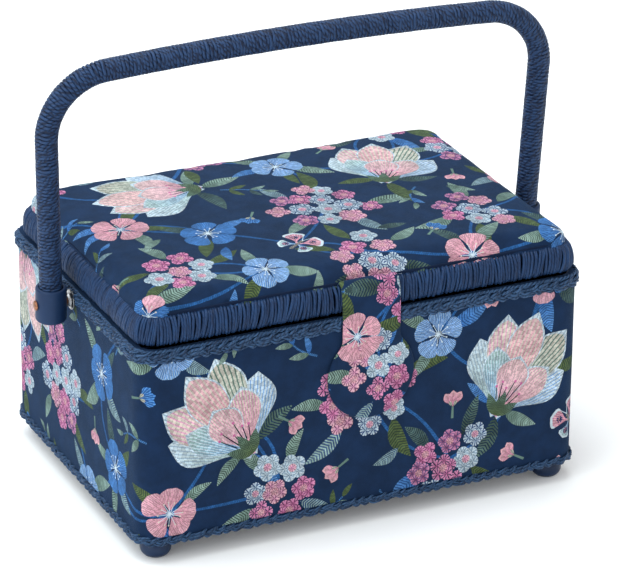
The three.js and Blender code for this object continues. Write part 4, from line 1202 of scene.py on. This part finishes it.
satin = Finish("lining_satin", Roughness=0.46, Specular_IOR_Level=0.30, Sheen_Weight=0.05, Sheen_Roughness=0.4)
satin_cloud = satin.noise(satin.place(), 26.0, 3.0, 0.5)
warp, weft, _ = satin.split(satin.uv("cloth"))
satin_floats = satin.noise(satin.join(warp * 0.9, weft * 0.06, 0.0), 8.0, 3.0, 0.6)
satin_tone = satin.ramp(satin_floats * 0.55 + satin_cloud * 0.45, 0.0, 1.0, 0.25, 0.78)
satin.feed(Base_Color=satin.mix(satin_tone, (0.0120, 0.0270, 0.0860), (0.0240, 0.0500, 0.1420)),
           Roughness=satin.ramp(satin_floats, 0.40, 0.58, 0.2, 0.8),
           Normal=satin.bump(satin_floats, 0.00008, 0.6))


def satin_piece(name, rows, across, down, body, node=None, closed=0.0, inward=False):
    """Satin set at rows of points. across and down are their places on the flat cloth. closed is the length
    of a strip whose ends meet, and inward turns the good side of such a strip to the middle."""
    points = np.array(rows)
    index = np.arange(points.shape[0] * points.shape[1]).reshape(points.shape[:2])
    here, after = (index, np.roll(index, -1, 1)) if closed else (index[:, :-1], index[:, 1:])
    corners = [here[:-1], after[:-1], after[1:], here[1:]]
    if inward:
        corners = [corners[i] for i in (1, 0, 3, 2)]
    quads = np.stack(corners, -1).reshape(-1, 4)
    piece = new_piece(name, points.reshape(-1, 3), quads.tolist(), satin, body, node)
    row, column = np.divmod(quads, points.shape[1])
    u = across[column]
    if closed:
        u = np.where((np.ptp(u, axis=1, keepdims=True) > closed / 2) & (u < closed / 2), u + closed, u)
    lay_uv(piece, "cloth", np.stack([u, down[row]], -1))
    return piece


lining_loop = Loop(121.2, 85.2, 3.6)
lining_foot, lining_top, lining_bend = 16.35, 107.2, 1.2
columns = lining_loop.stations(5.0, 0.9)
levels = np.concatenate([np.linspace(0, lining_top - lining_bend, 24),
                         lining_top - lining_bend + np.array([0.5, 0.85, 1.1])])
grid_rows = [(0.0, level) for level in levels] + [(out, lining_top - 0.05)
                                                  for out in (0.35, 1.2, 2.6, 4.2, 5.6)]
rows = []
for out, level in grid_rows:
    pucker = 0.28 * ripple(np.column_stack([columns, columns * 0 + level]), 16.0, 21)
    hang = 0 if out else math.sin(math.pi * min(1, level / lining_top))
    bent = min(1, max(0, level - lining_top + lining_bend) / lining_bend) * math.pi / 2
    rounding = out or 0.45 * (1 - math.cos(bent))
    x, y, _, _ = lining_loop.at(columns, rounding - np.clip(pucker + 0.15, 0, 1) * hang)
    rows.append(np.column_stack([x, y, np.full(len(x), lining_foot + level)]))
lining = satin_piece("wall_satin", rows, columns, np.array([level + out for out, level in grid_rows]), "box",
                     "wall_lining", lining_loop.length, True)

# Floor pad and lid lining: satin over thin wadding on a card, drawn down along the edges and glued in place.
# The lid's one carries a pincushion and a pocket, which are sewn through it.


def wadded(name, loop, face_z, swell, edge_width, seed, body, node, down=False, sewn=()):
    """A closed pad whose face rises by swell over its edge_width. Its back is flat. down turns its face to
    the floor. sewn lists what is sewn on it as (x, y, half length, half width): no wadding swells the cloth
    there."""
    flat, triangles, marks = plain_cut(loop, 5.5)
    distance = np.clip(inset_of(flat, loop), 0, None)
    pull = ripple(flat, 9.0, seed) * np.exp(-distance / 14.0) * 0.55 + ripple(flat, 38.0, seed + 1) * 0.30
    face = np.column_stack([flat, puff(distance, swell, edge_width) * (1 + 0.28 * pull) + 0.02])
    sign = -1 if down else 1
    free = np.ones(len(flat))
    for x, y, half_x, half_y in sewn:
        aside = np.clip(abs(flat * [sign, 1] - [x, y]) - [half_x, half_y], 0, None)
        free *= np.clip(np.hypot(*aside.T) / 9.0, 0, 1)
    face += swollen(face, triangles, distance < 0.5, 1.6, 0.015, 3.0) * free[:, None]
    back = backed(triangles, distance < 0.01, np.column_stack([flat * [sign, 1], np.full(len(flat), face_z)]))
    face = np.column_stack([face[:, :2] * [sign, 1], face_z + sign * face[:, 2]])
    pad = cloth_piece(name, face, (flat, triangles, marks), satin, body, node, back)


wadded("floor_satin_pad", Loop(120.3, 84.2, 3.0), 16.25, 3.9, 7.0, 31, "box", "floor_pad")
cushion_seat = (-61.985, 0.2, 34.4, 22.4)
pocket_seat = (48.07, 0.2, 51.6, 30.8)
wadded("lid_satin_pad", Loop(118.9, 81.4, 7.0, 0.2), 137.7, 3.3, 8.0, 35, "lid", "lid_lining", True,
       (cushion_seat, pocket_seat))

# Lid edge lining: a strip of the same satin round the inside of the lid's frame and under it, out to the rim
# cord. It is glued all over, and its small puckers run across it.

frame_loop = Loop(118.6, 81.1, 7.0, 0.2)
strip_profile = Track([(0.1, 137.9), (-0.05, 134.5), (-0.1, 131.0), (0.0, 128.0), (0.35, 126.5), (1.3, 126.0),
                       (3.2, 125.98), (5.6, 126.0), (8.6, 126.15)])
columns = frame_loop.stations(5.0, 1.2)
down = np.linspace(0, strip_profile.length, 26)
rows = []
for out, level in strip_profile.at(down):
    pucker = 0.12 * ripple(np.column_stack([columns, columns * 0 + level]), 11.0, 27)
    x, y, _, _ = frame_loop.at(columns, out + pucker)
    rows.append(np.column_stack([x, y, np.full(len(x), level)]))
strip = satin_piece("lid_edge_satin", rows, columns, down, "lid", closed=frame_loop.length)

# Pincushion: a stuffed oblong of the printed cotton, its front and back seamed together and drawn in at the
# seam. It is sewn to the lid's lining, with a thin cord laid round the seam.

cushion_x, cushion_y, cushion_half, cushion_deep = cushion_seat
cushion_loop = Loop(cushion_half, cushion_deep, 9.0, cushion_y)
cushion_top_z, cushion_swell = 135.0, 5.8
cushion_print = Pattern(61)
compose(cushion_print, (-36, -24), (36, 24), [("blossom", -14, 4, 14, 0.4), ("bunch", 16, -2, 18, 1.2)])


def stuffed(flat):
    """How far inside the seam each point of the pincushion lies, and how far the stuffing lifts it."""
    distance = np.clip(inset_of(flat, cushion_loop), 0, None)
    return distance, cushion_swell * np.clip(1 - (1 - np.minimum(distance / 17.0, 1)) ** 2.3, 0, 1) ** 0.55


flat, _, _ = plain_cut(cushion_loop, 3.2, (0.4, 1.0, 1.9, 3.0, 4.4, 6.0))
cushion_cut = cut_cloth(plain_outline(cushion_loop, 3.0, 1.2), cushion_print, (),
                        [tuple(point) for point in flat])
flat, triangles, _ = cushion_cut
distance, lift = stuffed(flat)
pull = ripple(flat, 5.0, 41) * np.exp(-distance / 4.0) * 0.5 + ripple(flat, 20.0, 42) * 0.25
spread_out = flat * [-1, 1] + [cushion_x, 0]
coarse, coarse_triangles, _ = plain_cut(cushion_loop, 2.6)
coarse_in, coarse_lift = stuffed(coarse)
moves = swollen(np.column_stack([coarse, coarse_lift]), coarse_triangles, coarse_in < 0.3, 1.2, 0.03)
moves = carried(flat, coarse, coarse_triangles, moves) * [-1, 1, -1]
cushion_back = backed(triangles, distance < 0.01,
                      np.column_stack([spread_out, np.full(len(flat), cushion_top_z + 0.1)]))
pincushion = cloth_piece(
    "pincushion_cloth", np.column_stack([spread_out, cushion_top_z - lift * (1 + 0.16 * pull)]) + moves,
    cushion_cut, cotton, "lid", "pincushion", behind=cushion_back)
seam_loop = Loop(34.7, 22.7, 9.3, 0.2)
x, y, _, _ = seam_loop.at(seam_loop.stations(1.6, 1.2))
seam = np.stack([x + cushion_x, y, np.full(len(x), 133.7)], -1)
ropes("pincushion_cord", seam[None], upright, 0.85, 0.85, braid_cord, "lid", None, 8, True)

# Elastic pocket: satin gathered on an elastic along its mouth, which faces the front of the lid, and pleated
# in below. Its foot and its ends are sewn to the lid's lining.

pocket_x, pocket_y, pocket_half, pocket_deep = pocket_seat
pocket_top = 134.45
pocket_columns = 416
mouth_band, foot = 6.5, 2 * pocket_deep
across_pocket = np.linspace(-pocket_half, pocket_half, pocket_columns)
widths = np.random.default_rng(51).uniform(0.7, 1.35, 62)
edges_at = np.concatenate([[0], np.cumsum(widths)]) / widths.sum() * 2 * pocket_half - pocket_half
fold_phase = np.interp(across_pocket, edges_at, np.arange(len(edges_at)))
deep_folds = sum(a * np.sin(2 * np.pi * fold_phase / k + b) for a, k, b in ((0.5, 2.0, 0.4), (0.45, 3.1, 2.0),
                                                                             (0.35, 5.3, 4.0)))
fine_folds = np.sin(2 * np.pi * fold_phase)
ends = np.clip((pocket_half - abs(across_pocket)) / 5.0, 0, 1) ** 0.5
steps_down = np.concatenate([np.linspace(0, mouth_band, 9), np.linspace(mouth_band, foot, 40)[1:]])
rows = []
for down in steps_down:
    if down <= mouth_band:
        belly = 1.5 + 0.5 * math.sin(math.pi * down / mouth_band)
        folds = 0.34 * fine_folds
    else:
        free = (down - mouth_band) / (foot - mouth_band)
        belly = 1.1 + 2.9 * math.sin(math.pi * min(1, free * 1.05)) ** 0.7 * (1 - 0.35 * free)
        folds = 0.30 * fine_folds * math.exp(-free / 0.10) + 0.95 * deep_folds * (1 - free) ** 0.35 * (
            0.35 + 0.65 * math.sin(math.pi * min(1, free + 0.12)))
    shut = np.clip((foot - down) / 2.0, 0, 1) ** 0.5
    wander = 0.35 * deep_folds * math.sin(math.pi * down / foot)
    depth = (belly * ends + folds * ends) * shut
    rows.append(np.stack([-(across_pocket + wander) + pocket_x,
                          np.full(pocket_columns, down - pocket_deep + pocket_y),
                          pocket_top - np.maximum(depth, 0.05)], -1))
pocket = satin_piece("pocket_satin", rows, across_pocket * 1.6, steps_down, "lid", "elastic_pocket")
bpy.context.view_layer.objects.active = pocket
hem = pocket.modifiers.new("hem", "SOLIDIFY")
hem.thickness = 0.0004
hem.offset = -1
bpy.ops.object.modifier_apply(modifier="hem")

# Tray ledges: a board at each end of the box, covered in the lining satin, on which the tray stands.
# Each is a plain block with its edges softened by the cloth.

for end in ("left", "right"):
    low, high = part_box(f"tray_ledge_{end}")
    bpy.ops.mesh.primitive_cube_add(size=1, location=(low + high) / 2, scale=high - low)
    ledge = bpy.context.object
    ledge.name = f"ledge_satin_{end}"
    bpy.ops.object.transform_apply(location=True, rotation=True, scale=True)
    with editing(ledge):
        bpy.ops.mesh.bevel(offset=0.0008, segments=3, affect="EDGES")
    spots = [ledge.data.vertices[loop.vertex_index].co for loop in ledge.data.loops]
    lay_uv(ledge, "cloth", np.array([(spot.y / mm, (spot.z + spot.x) / mm) for spot in spots]))
    ledge.data.shade_smooth()
    bpy.ops.object.shade_smooth_by_angle(angle=math.radians(40))
    ledge.select_set(False)
    fit(ledge, satin, "box", f"tray_ledge_{end}")

# Boards: grey-brown fibreboard of the walls, the base and the lid top, and the lid's frame in dark navy. The
# cloth hides all of it, except the frame in the narrow gaps between the rim's turns, where its navy is a
# painted shade. The handle's core is split cane, steamed and bent.

fibreboard = Finish("fibreboard", Roughness=0.86, Specular_IOR_Level=0.2)
board_place = fibreboard.place()
board_fibre = fibreboard.noise(board_place, 420.0, 5.0, 0.7)
board_cloud = fibreboard.noise(board_place, 45.0, 3.0, 0.55)
board_tone = fibreboard.ramp(board_fibre * 0.6 + board_cloud * 0.4, 0.0, 1.0, 0.3, 0.72)
fibreboard.feed(Base_Color=fibreboard.mix(board_tone, (0.155, 0.105, 0.060), (0.300, 0.215, 0.130)),
                Normal=fibreboard.bump(board_fibre, 0.00012, 0.6))
for name in all_walls + ["base_board", "lid_board"]:
    dress(nodes[name], fibreboard)
# Painted shade: the lid's frame is dark navy so that it shows as shade in the gaps between the rim's cord
# turns.
frame_shade_backing = Finish("frame_painted_shade", Roughness=0.85, Specular_IOR_Level=0.1)
backing_fleck = frame_shade_backing.noise(frame_shade_backing.place(), 300.0, 4.0, 0.6)
frame_shade_backing.feed(Base_Color=frame_shade_backing.mix(backing_fleck, (0.0040, 0.0100, 0.0300), (0.0080, 0.0180, 0.0480)),
             Normal=frame_shade_backing.bump(backing_fleck, 0.0001, 0.5))
dress(nodes["lid_frame"], frame_shade_backing)
cane = Finish("split_cane", Roughness=0.6, Specular_IOR_Level=0.35)
cane_x, cane_y, cane_z = cane.split(cane.place())
cane_streak = cane.noise(cane.join(cane_x * 30.0, cane_y * 900.0, cane_z * 120.0), 1.0, 4.0, 0.6)
cane.feed(Base_Color=cane.mix(cane_streak, (0.060, 0.045, 0.035), (0.110, 0.080, 0.050)),
          Normal=cane.bump(cane_streak, 0.0001, 0.5))
dress(nodes["handle_core"], cane)

# Ball feet: turned from navy plastic, with a flat neck against the base and a hollow in the sole. Each is
# held by a plated screw up through the base.


def turned(name, profile, set_at, finish, body, node, steps=48, ring=False):
    """A piece spun from a profile of (radius, height) in millimetres, then set in place by set_at(points)."""
    mesh = bpy.data.meshes.new(name)
    joins = [(i, i + 1) for i in range(len(profile) - 1)] + ([(len(profile) - 1, 0)] if ring else [])
    mesh.from_pydata([(radius, 0, height) for radius, height in profile], joins, [])
    piece = bpy.data.objects.new(name, mesh)
    bpy.context.scene.collection.objects.link(piece)
    with editing(piece):
        bpy.ops.mesh.spin(steps=steps, angle=math.tau, center=(0, 0, 0), axis=(0, 0, 1))
        bpy.ops.mesh.select_all(action="SELECT")
        bpy.ops.mesh.remove_doubles(threshold=0.0005)
        bpy.ops.mesh.normals_make_consistent(inside=False)
    places = np.array([point.co for point in mesh.vertices])
    mesh.vertices.foreach_set("co", (np.asarray(set_at(places)) * mm).ravel())
    mesh.update()
    with editing(piece):
        bpy.ops.mesh.normals_make_consistent(inside=False)
    mesh.shade_smooth()
    bpy.ops.object.shade_smooth_by_angle(angle=math.radians(38))
    piece.select_set(False)
    fit(piece, finish, body, node)


def moulded(name, dark, pale, rough, fine=900.0, level=0.35):
    """Moulded plastic with a fine matt skin and faint flow marks."""
    plastic = Finish(name, Specular_IOR_Level=level)
    place = plastic.place()
    grain = plastic.noise(place, fine, 3.0, 0.6)
    cloud = plastic.noise(place, 70.0, 3.0, 0.5)
    plastic.feed(Base_Color=plastic.mix(plastic.ramp(cloud, 0.0, 1.0, 0.3, 0.7), dark, pale),
                 Roughness=plastic.ramp(cloud, rough - 0.05, rough + 0.06, 0.3, 0.7),
                 Normal=plastic.bump(grain, 0.00005, 0.5))
    return plastic


foot_plastic = moulded("foot_plastic", (0.0065, 0.0190, 0.0560), (0.0105, 0.0270, 0.0720), 0.34, 700.0, 0.25)
quarter = np.linspace(0, math.pi / 2, 9)
foot_profile = [(0, 0.35), (2.2, 0.3), (3.1, 0.0), (4.0, 0.05)] + \
    [(4.0 + 4.5 * math.sin(a), 4.9 * (1 - math.cos(a))) for a in quarter[1:]] + \
    [(6.0 + 2.5 * math.cos(a), 4.9 + 4.7 * math.sin(a)) for a in quarter[1:-1]] + \
    [(5.9, 9.9), (5.9, 10.45), (0, 10.45)]
foot_sides = ("front_left", "front_right", "back_left", "back_right")
for side in foot_sides:
    low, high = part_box(f"foot_{side}")
    foot_at = np.array([(low.x + high.x) / 2, (low.y + high.y) / 2, 0]) / mm
    turned(f"ball_foot_{side}", foot_profile, lambda points, at=foot_at: points + at, foot_plastic, "box",
           f"foot_{side}")

# Steel: nickel-plated screws of the feet, and burnished butt hinges with their pins, two at the back of the
# lid. The plating is a little cloudy, with a fine grain.


def plated(name, dark, pale, rough):
    metal = Finish(name, Metallic=1.0)
    place = metal.place()
    cloud = metal.noise(place, 160.0, 4.0, 0.6)
    grain = metal.noise(place, 1500.0, 2.0, 0.5)
    metal.feed(Base_Color=metal.mix(metal.ramp(cloud, 0.0, 1.0, 0.35, 0.75), dark, pale),
               Roughness=metal.ramp(cloud, rough, rough + 0.18, 0.3, 0.7),
               Normal=metal.bump(grain, 0.00002, 0.4))
    return metal


nickel = plated("nickel_plate", (0.25, 0.255, 0.27), (0.62, 0.62, 0.61), 0.24)
burnished = plated("burnished_steel", (0.050, 0.047, 0.044), (0.150, 0.138, 0.120), 0.36)
for side in foot_sides:
    dress(nodes[f"foot_screw_{side}"], nickel)
for part in ("box_leaf", "lid_leaf", "pin"):
    for side in ("left", "right"):
        dress(nodes[f"hinge_{part}_{side}"], burnished)

# Magnetic catch: a plated disc let into the front of the box and one sewn to the back of the tab.
# They meet when the tab hangs down.

disc_profile = [(0, 0), (6.5, 0), (6.95, 0.18), (7.0, 0.4), (7.0, 1.1), (0, 1.1)]
for name, body, node, face_y, sign in (("catch_disc_wall", "box", "magnet_on_wall", -91.2, 1),
                                       ("catch_disc_tab", "tab", "magnet_on_tab", -91.95, -1)):
    turned(name, disc_profile, lambda points, face_y=face_y, sign=sign: np.column_stack([
        tab_x + points[:, 0], face_y + sign * points[:, 2], catch_z + points[:, 1]]),
           nickel, body, node)

# Handle fittings: a plastic cup over each end of the handle, a copper rivet through it and a bright bush to
# the wall. The rivet's head shows on the cup, and its other end is set over inside the box.

ferrule_plastic = moulded("ferrule_plastic", (0.0080, 0.0240, 0.0700), (0.0125, 0.0340, 0.0900), 0.50, 900.0,
                          0.20)
cup_profile = [(0, -10.0), (6.6, -10.0), (7.5, -9.75), (8.2, -9.15), (8.5, -8.2), (8.5, -2.0), (8.5, 4.0),
               (8.5, 8.4), (8.42, 9.2), (8.1, 9.75), (7.6, 10.0), (7.0, 10.0), (6.62, 9.7), (6.5, 9.2),
               (6.5, 4.2), (0, 4.2)]
antique_copper = Finish("antique_copper", Metallic=1.0)
copper_cloud = antique_copper.noise(antique_copper.place(), 700.0, 4.0, 0.65)
copper_tone = antique_copper.ramp(copper_cloud, 0.0, 1.0, 0.35, 0.7)
antique_copper.feed(Base_Color=antique_copper.mix(copper_tone, (0.16, 0.075, 0.045), (0.46, 0.22, 0.13)),
                    Roughness=antique_copper.ramp(copper_cloud, 0.30, 0.55, 0.3, 0.7),
                    Normal=antique_copper.bump(copper_cloud, 0.00005, 0.5))
rivet_profile = [(0, 120.5), (3.0, 120.45), (3.8, 120.7), (4.0, 121.0), (3.7, 121.35), (2.0, 121.4),
                 (2.0, 151.55), (2.75, 151.6), (2.8, 151.85), (2.6, 152.25), (2.15, 152.55), (1.4, 152.74),
                 (0.6, 152.8), (0, 152.8)]
bush_profile = [(2.1, 121.45), (3.8, 121.45), (4.0, 121.7), (3.9, 122.1), (3.3, 122.3), (3.3, 131.05),
                (5.2, 131.05), (5.5, 131.35), (5.5, 131.95), (5.2, 132.25), (4.2, 132.3), (3.8, 132.6),
                (3.5, 133.2), (3.4, 134.15), (2.1, 134.15)]
for end, sign in (("left", -1), ("right", 1)):
    def across_wall(points, sign=sign):
        return np.column_stack([sign * points[:, 2], points[:, 0] + object_shift_y, points[:, 1] + pivot_z])

    turned(f"cup_{end}", cup_profile, lambda points, x=sign * pivot_half: on_handle(points + [x, 0, 0]),
           ferrule_plastic, "handle", f"ferrule_{end}", 56)
    turned(f"rivet_{end}", rivet_profile, across_wall, antique_copper, "pivot_pins", f"pivot_rivet_{end}",
           32)
    turned(f"bush_{end}", bush_profile, across_wall, nickel, "box", f"pivot_bush_{end}", 40, True)

# Tray: moulded in pale plastic, with five compartments and a finger notch at each end. It stands on the
# ledges and lifts out by hand. Its shape is the CAD solid's own.

tray_plastic = moulded("tray_plastic", (0.66, 0.68, 0.71), (0.69, 0.71, 0.74), 0.38, 500.0, 0.45)
dress(nodes["tray"], tray_plastic)
